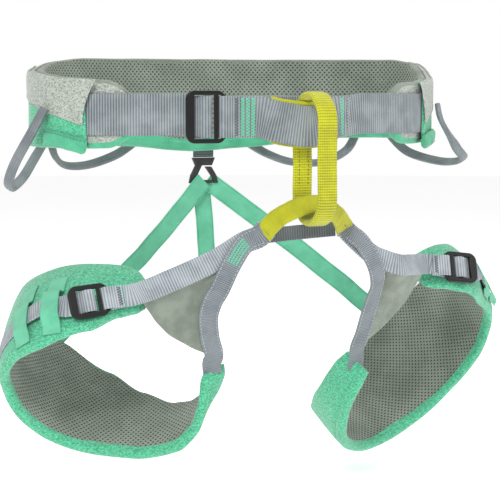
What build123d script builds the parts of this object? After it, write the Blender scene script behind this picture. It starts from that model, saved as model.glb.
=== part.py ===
from build123d import *
import math
import os

# Climbing harness: padded waist belt, belay loop, two padded leg loops, gear loops and rear risers.
# Frame, in millimetres: origin at the centre of the waist opening at the belt webbing's mid height,
# +Z up, -Y towards the front where the climber ties in, +X towards the belt side without the buckle.

# ---- driving dimensions -------------------------------------------------------------------------
GAP = 0.35                              # clearance between sewn layers
EDGE_GAP = 1.2                          # clearance of the foam and lining from the folded edges
STEP = 7.0                              # spacing of loft sections along a strap

WAIST_LEFT, WAIST_RIGHT = 184, 150      # inner half widths of the waist opening
WAIST_DEPTH = 84                        # its inner half depth
PAD_ENDS = (227, -58)                   # plan angles of the pad's ends, 90 is the back
MOUTHS = (209, -37)                     # plan angles where the webbing leaves the cover
LINING = 1.3                            # spacer mesh against the body
FOAM = 6.5
FACING = 1.0                            # fabric wrapped round the foam
COVER = 1.2                             # outer cover over the belt webbing
WAIST_WEB, WAIST_WEB_T = 33, 2.0        # belt webbing
# height of the waist pad's two edges at plan angles
PAD_TOP = [(-58, 24), (-37, 25.5), (-14, 31), (3, 43), (16, 45.8), (90, 46), (135, 45.5), (150, 42.5), (168, 35),
           (209, 27), (227, 24)]
PAD_BOTTOM = [(-58, -26), (-37, -27), (0, -25), (30, -24), (50, -25), (76, -32.5), (97, -36), (118, -30),
              (140, -28), (209, -28), (227, -27)]

LEG_CENTRE = (132, -7, -201)            # middle of the right leg loop; the left one mirrors it
LEG_SPLAY, LEG_DROP = 25, 35            # thigh axis: outward and downward angles, degrees
LEG_RING = {-1: (79, 60, -12), 1: (70, 87, 26)}   # inner half axes and their turn, left and right
LEG_BULGE = {-1: (150, 0, 30), 1: (126, -8, 26)}  # angle, height and spread of the upper corner
LEG_FLARE = 0.0009                      # growth of the ring per mm towards the knee
LEG_TAPER = {-1: (112, 0, 28), 1: (112, 0.0039, 28)}  # angle, shrinking per mm and spread of a pinched corner
LEG_CROWN = 7                           # how far the pad's middle bulges at the front of the leg
LEG_TWIST = {-1: (315, 352, 50), 1: (330, 366, 0)}  # the inner end's turn: from angle, to angle, degrees
LEG_FOAM = 5.9
LEG_WEB, LEG_WEB_T = 18, 1.6            # leg webbing
TONGUE_WEB_T = 1.4                      # doubled webbing round buckle bars
KEEPER_WEB = 15                         # elastic bands that hold the adjusting strap
KEEPER_TURNS = {-1: (27, 45), 1: (46, 63)}  # their places, degrees past the buckle

BELAY_WIDTH, BELAY_THICK = 17, 5
BELAY_Z = (-90, 17)
BELAY_Y, BELAY_DEPTH = -112, 49
ARCH_SIZE = (16, 6)
RISER_WEB, RISER_T = 17, 1.1
GEAR_LOOP = (8, 4)
BUCKLE_LENGTH, BUCKLE_THICK, BAR_R = 32, 3.6, 2.0
CROSSBAR = (-7.2, -4.2)                 # fixed bar between the slider and the anchor bar

PARTS = {}
FACE = LINING + FOAM + 2 * GAP          # outer side of the waist foam, plus clearance
BELT_OUT = FACE + FACING + GAP + WAIST_WEB_T / 2
COVER_IN = BELT_OUT + WAIST_WEB_T / 2 + GAP
LEG_FACE = LINING + LEG_FOAM + 2 * GAP
LEG_OUT = LEG_FACE + FACING             # outer face of a leg pad
ADJUST_OUT = LEG_OUT + 3.1              # middle of the adjusting strap under the keepers


# ---- helpers ------------------------------------------------------------------------------------
def mix(a, b, t):
    return a + (b - a) * t


def ease(t):
    t = min(max(t, 0), 1)
    return t * t * (3 - 2 * t)


def spline(a, b, c, d, t):
    """Catmull-Rom value between b and c."""
    return (b * 2 + (c - a) * t + (a * 2 - b * 5 + c * 4 - d) * t**2 + (b * 3 - a - c * 3 + d) * t**3) * 0.5


def evenly(stations, step):
    """Smooth curve through (point, normal) stations, sampled at equal steps."""
    fine = []
    last = len(stations) - 1
    for i in range(last):
        a, b, c, d = (stations[min(max(i + k, 0), last)] for k in (-1, 0, 1, 2))
        for k in range(12):
            t = k / 12
            fine.append((spline(a[0], b[0], c[0], d[0], t), mix(b[1], c[1], t)))
    fine.append(stations[-1])
    lengths = [0]
    for (p, _), (q, _) in zip(fine, fine[1:]):
        lengths.append(lengths[-1] + (q - p).length)
    count = max(2, round(lengths[-1] / step))
    result, i = [], 0
    for k in range(count + 1):
        goal = lengths[-1] * k / count
        while i < len(fine) - 2 and lengths[i + 1] < goal:
            i += 1
        t = min(1, (goal - lengths[i]) / (lengths[i + 1] - lengths[i]))
        result.append((mix(fine[i][0], fine[i + 1][0], t), mix(fine[i][1], fine[i + 1][1], t).normalized()))
    return result


def smooth_value(keys, x):
    """Eased value of a table of (x, value, ...) rows at x; returns the values as a list."""
    if x <= keys[0][0]:
        return list(keys[0][1:])
    for low, high in zip(keys, keys[1:]):
        if x <= high[0]:
            t = (x - low[0]) / (high[0] - low[0])
            return [mix(a, b, (t + ease(t)) / 2) for a, b in zip(low[1:], high[1:])]
    return list(keys[-1][1:])


def loft(sections):
    """Smooth solid through closed polygons that all have the same number of corners."""
    wires = [Wire.make_polygon(corners, close=True) for corners in sections]
    return Solid.make_loft(wires, ruled=False)


def strap(stations, width, thick, step=STEP):
    """Flat webbing along (point, face normal) stations."""
    stations = evenly(stations, step)
    sections = []
    last = len(stations) - 1
    for i, (p, normal) in enumerate(stations):
        ahead = (stations[min(i + 1, last)][0] - stations[max(i - 1, 0)][0]).normalized()
        side = ahead.cross(normal).normalized() * (width / 2)
        up = side.cross(ahead).normalized() * (thick / 2)
        sections.append([p - side - up, p + side - up, p + side + up, p - side + up])
    return loft(sections)


def local_strap(plane, points, width, thick, step=2.5):
    """Webbing whose edge outline lies in a plane's local XZ, width along local Y."""
    stations = []
    last = len(points) - 1
    for i, (x, z) in enumerate(points):
        a, b = points[max(i - 1, 0)], points[min(i + 1, last)]
        along = Vector(b[0] - a[0], 0, b[1] - a[1]).normalized()
        stations.append((Vector(x, 0, z), Vector(-along.Z, 0, along.X)))
    return strap(stations, width, thick, step).moved(plane.location)


def keep(name, *shapes):
    PARTS[name] = [solid for shape in shapes for solid in shape.solids()]


# ---- waist belt ---------------------------------------------------------------------------------
def waist_half(angle):
    return WAIST_RIGHT if math.cos(math.radians(angle)) > 0 else WAIST_LEFT


def waist_normal(angle):
    a = math.radians(angle)
    return Vector(math.cos(a) / waist_half(angle), math.sin(a) / WAIST_DEPTH, 0).normalized()


def waist_point(angle, out, z):
    """Point at a plan angle, a distance outside the waist opening and a height."""
    a = math.radians(angle)
    base = Vector(waist_half(angle) * math.cos(a), WAIST_DEPTH * math.sin(a), z)
    return base + waist_normal(angle) * out


def pad_heights(angle):
    """Lower and upper edge of the waist pad, which narrows at its rounded ends."""
    low, high = smooth_value(PAD_BOTTOM, angle)[0], smooth_value(PAD_TOP, angle)[0]
    middle = (low + high) / 2
    share = math.sqrt(ease(0.16 + min(PAD_ENDS[0] - angle, angle - PAD_ENDS[1]) / 14))
    return mix(middle, low, share), mix(middle, high, share)


def span(start, end, count):
    return [mix(start, end, k / count) for k in range(count + 1)]


def belt_loft(left, right, profile, count=57):
    """Loft round the belt between two plan angles; profile(low, high) gives (out, z) corners."""
    sections = []
    for angle in span(left, right, count):
        sections.append([waist_point(angle, out, z) for out, z in profile(*pad_heights(angle))])
    return loft(sections)


def make_waist_pad():
    lip_low, lip_high = 10, 2.5

    def lining(low, high):
        a, b = low + lip_low + EDGE_GAP, high - lip_high - EDGE_GAP
        return [(0, a), (LINING, a), (LINING, b), (0, b)]

    def foam(low, high):
        a, b = low + FACING + EDGE_GAP, high - FACING - EDGE_GAP
        return [(LINING + GAP, a), (FACE - GAP, a), (FACE - GAP, b), (LINING + GAP, b)]

    def facing(low, high):
        a, b = low + FACING, high - FACING
        return [
            (FACE + FACING, low), (FACE + FACING, high), (0, high), (0, high - lip_high),
            (LINING, high - lip_high), (LINING, b), (FACE, b), (FACE, a),
            (LINING, a), (LINING, low + lip_low), (0, low + lip_low), (0, low),
        ]

    for name, profile in (("waist_lining", lining), ("waist_foam", foam), ("waist_facing", facing)):
        keep(name, belt_loft(*PAD_ENDS, profile))


def make_waist_cover():
    def shell(low, high):
        a, b, edge = low + 1, high - 1, 2.5
        foot = FACE + FACING + GAP
        return [
            (COVER_IN + COVER, a), (COVER_IN + COVER, b), (foot, b), (foot, b - edge),
            (COVER_IN, b - edge), (COVER_IN, a + edge), (foot, a + edge), (foot, a),
        ]

    keep("waist_cover", belt_loft(*MOUTHS, shell))
    inner, outer = COVER_IN + COVER + GAP, COVER_IN + COVER + GAP + 0.8
    for name, start, end in (("wing_left", MOUTHS[0], 158), ("wing_right", MOUTHS[1], 10)):
        sections = []
        for share in span(0, 1, 6):
            angle = mix(start, end, share)
            low, high = mix(-14, 12, share), pad_heights(angle)[1] - 1
            sections.append([waist_point(angle, o, z) for o, z in
                             ((inner, low), (outer, low), (outer, high), (inner, high))])
        keep(name, loft(sections))


def belt_strap(stations, width, thick, step=STEP):
    """Webbing round the belt through (plan angle, distance out, height) stations."""
    return strap([(waist_point(a, out, z), waist_normal(a)) for a, out, z in stations], width, thick, step)


def make_belt_webbing():
    round_back = [(a, BELT_OUT, -1) for a in span(238, -70, 30)]
    keep("waist_webbing", belt_strap(round_back + [(-77, BELT_OUT, -3)], WAIST_WEB, WAIST_WEB_T))
    inner = [(-79.3, BELT_OUT, -3), (-84, 3, -3), (-90.5, -1, -3), (-97, 3, -3), (-103, BELT_OUT, -3)]
    keep("tie_in_inner_webbing", belt_strap(inner, WAIST_WEB, WAIST_WEB_T))
    out = BELT_OUT + WAIST_WEB_T + GAP
    outer = [(-76.5, out, -3), (-79.5, out + 0.3, -3.5), (-84.5, 17.5, -7.5), (-90.5, 21, -10.5),
             (-97, 17.5, -7.5), (-102, out + 0.3, -3.5), (-107.5, out, -3)]
    keep("tie_in_webbing", belt_strap(outer, WAIST_WEB, WAIST_WEB_T, 3))
    sleeve = [(-82.8, 13.9, -5.9), (-85.7, 15.9, -8.5), (-90.5, 18.5, -9.6), (-96, 15.6, -7.9), (-99.5, 12.8, -5.2)]
    keep("tie_in_protector", belt_strap(sleeve, WAIST_WEB - 1, 0.9, 3))
    for i, angle in enumerate((-104, -105.4, -106.8)):
        stitch = [(angle, out + WAIST_WEB_T / 2 + GAP, z) for z in (-17, -3, 11)]
        keep(f"tie_in_bartack_{i + 1}", belt_strap(stitch, 1.8, 0.5))
    stitch = [(-78, out + WAIST_WEB_T / 2 + 2 * GAP, z) for z in (-17, -3, 11)]
    keep("tie_in_bartack_4", belt_strap(stitch, 2.2, 0.5))


# ---- slide block buckles ------------------------------------------------------------------------
def buckle_window(start, end, web):
    """Cutter for the opening between two places along the buckle."""
    return Pos((start + end) / 2, 0, 0) * Box(end - start, web + 1.4, 3 * BUCKLE_THICK)


def make_buckle(prefix, plane, web):
    """Buckle with the strap along local X, outside along local Z, anchor bar on the local Y axis."""
    height = web + 8.5
    middle = BAR_R - BUCKLE_LENGTH / 2
    plate = Pos(middle, 0, -BUCKLE_THICK / 2) * extrude(RectangleRounded(BUCKLE_LENGTH, height, 7), BUCKLE_THICK)
    plate = fillet(plate.edges().filter_by(GeomType.LINE).group_by(Axis.Z)[-1], 1.0)
    window = buckle_window(BAR_R - BUCKLE_LENGTH + 6.5, CROSSBAR[0], web)
    rear = buckle_window(CROSSBAR[1], BAR_R + 0.3, web)
    bar = Rot(90, 0, 0) * Cylinder(BAR_R - 0.2, web + 2)
    frame = plate - window - rear + bar
    keep(prefix + "_frame", frame.moved(plane.location))
    slider = Box(5, web + 0.6, 2.6)
    slider = fillet(slider.edges().filter_by(Axis.Y), 1.1)
    slider = Pos(-13.5, 0, 0.2) * slider
    keep(prefix + "_slider", slider.moved(plane.location))
    fold = [(-28, -2.85), (-24.5, -2.8), (-20.8, -1.7), (-18.1, 0.6), (-16.1, 2.2), (-13.5, 2.6), (-10.9, 1.9),
            (-9.4, 0), (-10.1, -2.6), (-12.9, -4.3), (-18, -4.9), (-23, -4.95), (-28, -4.95)]
    keep(prefix + "_fold", local_strap(plane, fold, web, TONGUE_WEB_T))
    r = BAR_R + GAP + TONGUE_WEB_T / 2
    turn = [(r * math.cos(math.radians(a)), r * math.sin(math.radians(a))) for a in (100, 140, 180, 220, 260)]
    anchor = [(13, 1.15), (8.5, 1.3), (4, 2.3)] + turn + [(4, -2.3), (8.5, -1.3), (13, -1.15)]
    keep(prefix + "_anchor", local_strap(plane, anchor, web, TONGUE_WEB_T))


# ---- tie-in arch, belay loop and rear hook ------------------------------------------------------
def make_front():
    height = BELAY_Z[1] - BELAY_Z[0]
    loop = Pos(BELAY_Y, sum(BELAY_Z) / 2) * (
        SlotOverall(height, BELAY_DEPTH, rotation=90)
        - SlotOverall(height - 2 * BELAY_THICK, BELAY_DEPTH - 2 * BELAY_THICK, rotation=90))
    keep("belay_loop", extrude(Plane.YZ * loop, BELAY_WIDTH / 2, both=True))
    arch = [(-38, -96, -95), (-25, -105, -81), (0, -111, -72), (23, -105, -81), (36, -96, -95)]
    out = [Vector(x, -0.86, 0.45) for x in (-0.25, -0.15, 0, 0.15, 0.25)]
    keep("lower_tie_in", strap([(Vector(*p), n) for p, n in zip(arch, out)], *ARCH_SIZE))
    bridge = [(-33, -84, -99), (0, -82, -97), (33, -84, -95)]
    keep("leg_bridge", strap([(Vector(*p), Vector(0, -1, 0)) for p in bridge], 12, 2))


HOOK_X, HOOK_Y, HOOK_TOP, HOOK_LOW = -4, 101, -42, -65


def make_hook():
    """Rear clip: head on a webbing tab, two curved arms and a cross bar that carries the risers."""
    plate = Plane.XZ.offset(-HOOK_Y) * Pos(HOOK_X, 0)
    shoulder = HOOK_TOP - 7
    head = Polygon((-11, HOOK_TOP), (11, HOOK_TOP), (8, shoulder), (-8, shoulder), align=None)
    arm = Polygon((-7.5, shoulder + 0.5), (-1.5, shoulder + 0.5), (-7.5, HOOK_LOW + 5), (-10, HOOK_LOW),
                  (-14, HOOK_LOW), (-12.5, HOOK_LOW + 7), align=None)
    bar = Pos(-2, HOOK_LOW + 1.4) * Rectangle(20, 2.8)
    keep("rear_hook", extrude(plate * (head + arm + bar), 1.6, both=True))
    gate = Polygon((7.5, shoulder - 1.1), (1.5, shoulder - 1.1), (8.6, HOOK_LOW + 5), (9.5, HOOK_LOW),
                   (14, HOOK_LOW), (12.5, HOOK_LOW + 7), align=None)
    keep("rear_hook_gate", extrude(plate * gate, 1.6, both=True))
    keep("rear_hook_tab", Pos(HOOK_X, HOOK_Y, HOOK_TOP + 4.9) * Box(20, 2, 9))


def make_risers():
    """Straps from the rear clip to the back of each leg loop, and the adjusting strap's free tail."""
    top = HOOK_LOW + 1
    front, behind = HOOK_Y - 3, HOOK_Y + 3
    left = [((-9, front, top), (0.1, 1, 0)), ((-52, front - 2, top - 46), (-0.2, 1, 0)),
            ((-135, 87, -193), (-0.5, 0.8, 0.3))]
    right = [((1, behind, top), (0, 1, 0)), ((58, behind - 4, top - 47), (0.2, 1, 0)),
             ((153, 82, -188), (0.5, 0.8, 0.3))]
    tail = [((-4, behind + 2, top - 2), (0, 1, 0)), ((-1, behind, top - 40), (0, 1, 0)),
            ((1, behind - 3, top - 94), (0, 1, 0.1))]
    for name, path in (("riser_left", left), ("riser_right", right), ("riser_tail", tail)):
        keep(name, strap([(Vector(*p), Vector(*n)) for p, n in path], RISER_WEB, RISER_T, 12))


# ---- gear loops ---------------------------------------------------------------------------------
def make_gear_loop(name, path):
    """Stiff tube along (plan angle, distance from the cover, height) stations."""
    cover = COVER_IN + COVER + GAP + 0.8 + GEAR_LOOP[1] / 2
    stations = []
    for i, (angle, out, z) in enumerate(path):
        turn = math.sin(math.pi * i / (len(path) - 1))
        stations.append((waist_point(angle, cover + out, z), waist_normal(angle) + Vector(0, 0, -1.4 * turn)))
    keep(name, strap(stations, *GEAR_LOOP, 5))


# ---- leg loops ----------------------------------------------------------------------------------
def leg_axes(side):
    """Centre, inner, upper-front and knee directions of a leg loop; side is -1 left, +1 right."""
    s, c = math.sin(math.radians(LEG_SPLAY)), math.cos(math.radians(LEG_SPLAY))
    sd, cd = math.sin(math.radians(LEG_DROP)), math.cos(math.radians(LEG_DROP))
    centre = Vector(side * LEG_CENTRE[0], LEG_CENTRE[1], LEG_CENTRE[2])
    inner = Vector(-side * c, -s, 0)
    return centre, inner, Vector(side * s * sd, -c * sd, cd), Vector(side * s * cd, -c * cd, -sd)


def leg_place(side, q):
    centre, inner, front, knee = leg_axes(side)
    return centre + inner * q[0] + front * q[1] + knee * q[2]


def leg_ring(side, angle):
    """Position of the ring about its centre: a turned ellipse with one bulging corner."""
    centre, inner, front, knee = leg_axes(side)
    r1, r2, turn = LEG_RING[side]
    a, t = math.radians(angle - turn), math.radians(turn)
    u = inner * math.cos(t) + front * math.sin(t)
    v = front * math.cos(t) - inner * math.sin(t)
    ring = u * (r1 * math.cos(a)) + v * (r2 * math.sin(a))
    corner, height, spread = LEG_BULGE[side]
    return ring + ring.normalized() * (height * math.exp(-(((angle - corner) / spread) ** 2)))


def leg_frame(side, angle):
    """Ring position and outward normal at an angle round the leg."""
    knee = leg_axes(side)[3]
    ring = leg_ring(side, angle)
    normal = knee.cross(leg_ring(side, angle + 1) - leg_ring(side, angle - 1)).normalized()
    return ring, normal if normal.dot(ring) > 0 else normal * -1


# pad outline: angle round the leg, edge towards the hip, edge towards the knee
LEG_PAD = {
    -1: [(67, -27, 6), (72, -36, 14), (80, -41, 22), (96, -41, 40), (125, -45, 52), (156, -52, 45), (185, -58, 37),
         (210, -62, 44), (230, -61, 46), (262, -42, 47), (283, -20, 50), (306, 0, 50), (320, 6, 42), (335, 0, 30),
         (345, -8, 20), (352, -10, 14)],
    1: [(62, -6, 16), (68, -16, 24), (80, -17, 36), (96, -18, 40), (120, -24, 38), (150, -37, 37), (180, -46, 44),
        (215, -50, 44), (245, -45, 43), (270, -26, 43), (291, -14, 42), (320, -4, 41), (340, 2, 39), (356, 4, 38),
        (366, 8, 36)],
}


def leg_point(side, angle, out, along, crown=LEG_CROWN):
    """Point on a leg loop: 0 is the inner thigh, 90 the front, 180 outside, 270 under the thigh."""
    centre, inner, front, knee = leg_axes(side)
    ring, normal = leg_frame(side, angle)
    corner, narrowing, spread = LEG_TAPER[side]
    narrow = narrowing * math.exp(-(((angle - corner) / spread) ** 2))
    hip_edge, knee_edge = smooth_value(LEG_PAD[side], angle)
    middle = (hip_edge + knee_edge) / 2
    share = (along - middle) / (knee_edge - middle)
    bulge = crown * max(0, 1 - share**2) * math.exp(-(((angle - 125) / 45) ** 2))
    point = centre + ring * (1 + (LEG_FLARE - narrow) * along) + normal * (out + bulge) + knee * along
    start, end, most = LEG_TWIST[side]
    turn = math.radians(most) * ease((angle - start) / (end - start))
    n, k = out - LEG_OUT / 2, along - middle
    lean_out = n * (math.cos(turn) - 1) - k * math.sin(turn)
    lean_knee = k * (math.cos(turn) - 1) + n * math.sin(turn)
    return point + normal * lean_out + knee * lean_knee


def leg_normal(side, angle, along):
    """Outward normal of a pad's outer face."""
    round_way = leg_point(side, angle + 1, LEG_OUT, along) - leg_point(side, angle - 1, LEG_OUT, along)
    knee_way = leg_point(side, angle, LEG_OUT, along + 1) - leg_point(side, angle, LEG_OUT, along - 1)
    normal = knee_way.cross(round_way).normalized()
    return normal if normal.dot(leg_frame(side, angle)[1]) > 0 else normal * -1


def leg_loft(side, profile, step=7):
    """Band round a leg, flat across; profile(hip, knee) gives (out, along) corners."""
    keys = LEG_PAD[side]
    count = round((keys[-1][0] - keys[0][0]) / step)
    sections = []
    for angle in span(keys[0][0], keys[-1][0], count):
        hip, knee = smooth_value(keys, angle)
        sections.append([leg_point(side, angle, out, s, 0) for out, s in profile(hip, knee)])
    return loft(sections)


def make_leg_pad(side, word):
    lip = 6

    def lining(hip, knee):
        a, b = hip + 1.5, knee - lip - EDGE_GAP
        return [(0, a), (LINING, a), (LINING, b), (0, b)]

    def foam(hip, knee):
        a, b = hip + FACING + EDGE_GAP, knee - FACING - EDGE_GAP
        return [(LINING + GAP, a), (LEG_FACE - GAP, a), (LEG_FACE - GAP, b), (LINING + GAP, b)]

    def shell(hip, knee):
        a, b = hip + FACING, knee - FACING
        return [
            (LEG_OUT, hip), (LEG_OUT, knee), (0, knee), (0, knee - lip), (LINING, knee - lip),
            (LINING, b), (LEG_FACE, b), (LEG_FACE, a), (LINING + GAP, a), (LINING + GAP, hip),
        ]

    for name, profile in (("lining", lining), ("foam", foam), ("shell", shell)):
        keep(f"leg_{name}_{word}", leg_loft(side, profile))


# middle lines of the free webbing: leg coordinates (inner, front, knee) from the tie-in arch
LEG_FRONT_WEB = {-1: [(119.6, 107.4, -25.8), (107, 102, -24), (84, 92, -14), (58, 84, -5), (33, 78.5, 5)],
                 1: [(121, 108, -24), (107, 101, -6), (96, 100, 3), (82, 101, 12)]}
LEG_INNER_WEB = {-1: [(120, 109.2, -24.3), (109, 104, -22), (99, 93, -12), (89, 76, 1), (83, 64, 3), (79, 46, 3),
                      (80, 26, 4), (83, 8, 5)],
                 1: [(121.9, 110, -22.1), (115.2, 107, -12), (110.5, 98.3, 4), (105.8, 87.9, 11.6), (99.5, 74, 12),
                     (94, 57, 13), (88, 33, 16), (85, 16, 18)]}
BUCKLE_ANGLE = {-1: 88.3, 1: 72.5}
BUCKLE_ALONG = {-1: 21, 1: 18.5}
BUCKLE_LIFT = {-1: 10.5, 1: 13}
BUCKLE_HEADING = {-1: Vector(0.9, -0.42, 0.22), 1: Vector(-0.9, 0.42, -0.05)}
FREE_WEB_NORMAL = {-1: Vector(-0.25, -0.95, 0.2), 1: Vector(0.1, -0.95, 0.2)}


def leg_buckle_plane(side):
    """The buckle hangs in the taut strap, a little in front of the pad."""
    angle, along = BUCKLE_ANGLE[side], BUCKLE_ALONG[side]
    normal = mix(FREE_WEB_NORMAL[side].normalized(), leg_normal(side, angle, along), 0.3).normalized()
    heading = BUCKLE_HEADING[side]
    origin = leg_point(side, angle, LEG_OUT + BUCKLE_LIFT[side], along)
    return Plane(origin, x_dir=(heading - normal * heading.dot(normal)).normalized(), z_dir=normal)


def offset_points(stations, shift, count, start, end):
    """Points beside a strap's middle line, shifted across its width, between two shares of its length."""
    line = evenly(stations, 2)
    last = len(line) - 1
    points = []
    for t in span(start, end, count):
        i = round(t * last)
        ahead = line[min(i + 1, last)][0] - line[max(i - 1, 0)][0]
        points.append(line[i][0] + ahead.cross(line[i][1]).normalized() * shift)
    return points


def make_leg_panel(side, word, front, inner):
    """Thin fabric gusset between the two free webbings."""
    upper = offset_points(front, side * (LEG_WEB / 2 + 0.7), 6, 0.36, 0.84)
    lower = offset_points(inner, -side * (LEG_WEB / 2 + 0.3), 6, 0.38, 0.9)
    skin = FREE_WEB_NORMAL[side].normalized() * 0.4
    sections = []
    for a, c in zip(upper, lower):
        row = [mix(a, c, 0.01), mix(c, a, 0.01)]
        sections.append([p - skin for p in row] + [p + skin for p in reversed(row)])
    keep(f"leg_panel_{word}", loft(sections))


def make_leg_straps(side, word):
    plane = leg_buckle_plane(side)
    make_buckle(f"leg_buckle_{word}", plane, LEG_WEB)
    normal = FREE_WEB_NORMAL[side]
    ends = [plane.from_local_coords(Vector(x, 0, 0)) for x in (22, 14)]
    points = [leg_place(side, q) for q in LEG_FRONT_WEB[side]] + ends
    turns = span(0, 1, len(points) - 2) + [1]
    front = [(p, mix(normal, plane.z_dir, t**2)) for p, t in zip(points, turns)]
    keep(f"leg_front_webbing_{word}", strap(front, LEG_WEB, LEG_WEB_T))
    inner = [(leg_place(side, q), normal) for q in LEG_INNER_WEB[side]]
    keep(f"leg_inner_webbing_{word}", strap(inner, LEG_WEB - 2, LEG_WEB_T))
    make_leg_panel(side, word, front, inner)
    keep(f"leg_adjust_strap_{word}", strap(adjust_stations(side), LEG_WEB, LEG_WEB_T))
    for i, turn in enumerate(KEEPER_TURNS[side]):
        band = keeper_stations(side, BUCKLE_ANGLE[side] + turn)
        keep(f"leg_keeper_{i + 1}_{word}", strap(band, KEEPER_WEB, 0.8, 4))


def adjust_line(side, angle):
    """Distance towards the knee of the adjusting strap at an angle round the leg."""
    return BUCKLE_ALONG[side] + 0.03 * (angle - BUCKLE_ANGLE[side])


def adjust_stations(side):
    """Middle of the adjusting strap from behind the buckle, under the keepers, to its end outside the leg."""
    plane = leg_buckle_plane(side)
    stations = [(plane.from_local_coords(Vector(-34.5, 0, -5.5)), plane.z_dir)]
    for turn, lift in ((31, 2), (38, 0.8), (46, 0), (60, 0), (78, 0), (96, 0)):
        angle = BUCKLE_ANGLE[side] + turn
        along = adjust_line(side, angle)
        stations.append((leg_point(side, angle, ADJUST_OUT + lift, along), leg_normal(side, angle, along)))
    return stations


def keeper_stations(side, angle):
    """Band over the adjusting strap, down to the pad on both sides; it stands higher next to the buckle."""
    middle = adjust_line(side, angle)
    height = 4.9 + 4.5 * max(0, 1 - (angle - BUCKLE_ANGLE[side] - 27) / 12)
    arc = [(-26, 0), (-18, 0.15), (-11.5, 0.95), (0, 1), (11.5, 0.95), (18, 0.15), (26, 0)]
    return [(leg_point(side, angle, LEG_OUT + 1.5 + rise * height, middle + s), leg_normal(side, angle, middle + s))
            for s, rise in arc]


def export_all():
    os.makedirs("parts", exist_ok=True)
    for name, solids in PARTS.items():
        shape = solids[0] if len(solids) == 1 else Compound(children=solids)
        export_step(shape, f"parts/{name}.step")


make_waist_pad()
make_waist_cover()
make_belt_webbing()
belt_buckle_angle = 248.3
belt_tangent = waist_point(belt_buckle_angle + 2, 0, 0) - waist_point(belt_buckle_angle - 2, 0, 0)
belt_buckle = Plane(waist_point(belt_buckle_angle, BELT_OUT + 2.9, -3), x_dir=belt_tangent.normalized(),
                    z_dir=waist_normal(belt_buckle_angle))
make_buckle("waist_buckle", belt_buckle, WAIST_WEB)
make_front()
make_hook()
make_risers()
make_gear_loop("gear_loop_front_left", [(193, 2.2, 4), (191, 4, -14), (187, 12, -40), (181, 14, -54),
                                        (171, 12, -57), (160, 4, -45), (151.5, 2.2, -24)])
make_gear_loop("gear_loop_rear_left", [(145, 2.2, -24), (142, 3, -38), (136, 6, -46), (127, 6, -46),
                                       (118, 3, -38), (112, 2.2, -27)])
make_gear_loop("gear_loop_rear_right", [(36, 2.2, -20), (40, 3, -36), (49, 6, -47), (60, 6, -47),
                                        (69, 3, -39), (76, 2.2, -28)])
make_gear_loop("gear_loop_front_right", [(-20, 2.2, 6), (-22, 6, -8), (-21, 19, -31), (-15, 25, -41),
                                         (0, 19, -45), (14, 8, -37), (22, 2.2, -20)])
for side, word in ((-1, "left"), (1, "right")):
    make_leg_pad(side, word)
    make_leg_straps(side, word)
export_all()
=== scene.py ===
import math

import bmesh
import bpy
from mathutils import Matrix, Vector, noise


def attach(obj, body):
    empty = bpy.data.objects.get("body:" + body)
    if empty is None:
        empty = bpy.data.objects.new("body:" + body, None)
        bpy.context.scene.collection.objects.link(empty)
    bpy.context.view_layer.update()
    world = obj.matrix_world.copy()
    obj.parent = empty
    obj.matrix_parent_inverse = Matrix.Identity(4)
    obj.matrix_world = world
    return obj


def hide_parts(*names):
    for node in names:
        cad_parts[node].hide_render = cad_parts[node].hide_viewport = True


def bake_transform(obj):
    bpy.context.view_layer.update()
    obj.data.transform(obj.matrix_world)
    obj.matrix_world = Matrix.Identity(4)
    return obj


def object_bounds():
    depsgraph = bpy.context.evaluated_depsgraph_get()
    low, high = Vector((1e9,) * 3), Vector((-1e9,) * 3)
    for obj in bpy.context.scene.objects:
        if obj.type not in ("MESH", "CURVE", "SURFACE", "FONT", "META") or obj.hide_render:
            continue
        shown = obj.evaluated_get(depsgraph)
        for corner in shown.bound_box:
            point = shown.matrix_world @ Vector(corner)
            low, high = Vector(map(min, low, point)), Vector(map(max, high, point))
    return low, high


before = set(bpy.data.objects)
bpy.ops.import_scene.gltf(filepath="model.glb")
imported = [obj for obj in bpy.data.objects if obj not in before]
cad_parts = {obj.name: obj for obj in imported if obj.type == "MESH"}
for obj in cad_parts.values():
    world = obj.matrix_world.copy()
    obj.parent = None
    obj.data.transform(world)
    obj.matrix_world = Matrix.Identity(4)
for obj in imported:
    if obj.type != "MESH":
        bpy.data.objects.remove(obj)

# Looks of a climbing harness: webbing, padded fabric, mesh lining, buckles and stitching.
# Shapes are worked out in millimetres from the driving dimensions of the CAD part, in its frame,
# so each piece lies where its node does. SCALE turns them into metres when a mesh is made.

cad_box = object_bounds()
noise.seed_set(11)                      # so the crumple of the cloth is the same each time
SCALE = 0.001
DRAPE = 32                              # size of the soft waves in padded cloth

# ---- driving dimensions, as in the CAD part ------------------------------------------------------
GAP = 0.35                              # between sewn layers
WAIST_LEFT, WAIST_RIGHT, WAIST_DEPTH = 184, 150, 84
PAD_ENDS = (227, -58)                   # plan angles of the pad's sewn ends
MOUTHS = (209, -37)                     # plan angles where the webbing leaves the cover
LINING, FOAM, FACING, COVER = 1.3, 6.5, 1.0, 1.2
WAIST_WEB, WAIST_WEB_T = 33, 2.0
PAD_TOP = [(-58, 24), (-37, 25.5), (-14, 31), (3, 43), (16, 45.8), (90, 46), (135, 45.5), (150, 42.5),
           (168, 35), (209, 27), (227, 24)]
PAD_BOTTOM = [(-58, -26), (-37, -27), (0, -25), (30, -24), (50, -25), (76, -32.5), (97, -36), (118, -30),
              (140, -28), (209, -28), (227, -27)]
FACE = LINING + FOAM + 2 * GAP
PAD_OUT = FACE + FACING
BELT_OUT = PAD_OUT + GAP + WAIST_WEB_T / 2
COVER_IN = BELT_OUT + WAIST_WEB_T / 2 + GAP
COVER_OUT = COVER_IN + COVER
TIE_IN_OUT = BELT_OUT + WAIST_WEB_T + GAP

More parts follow.
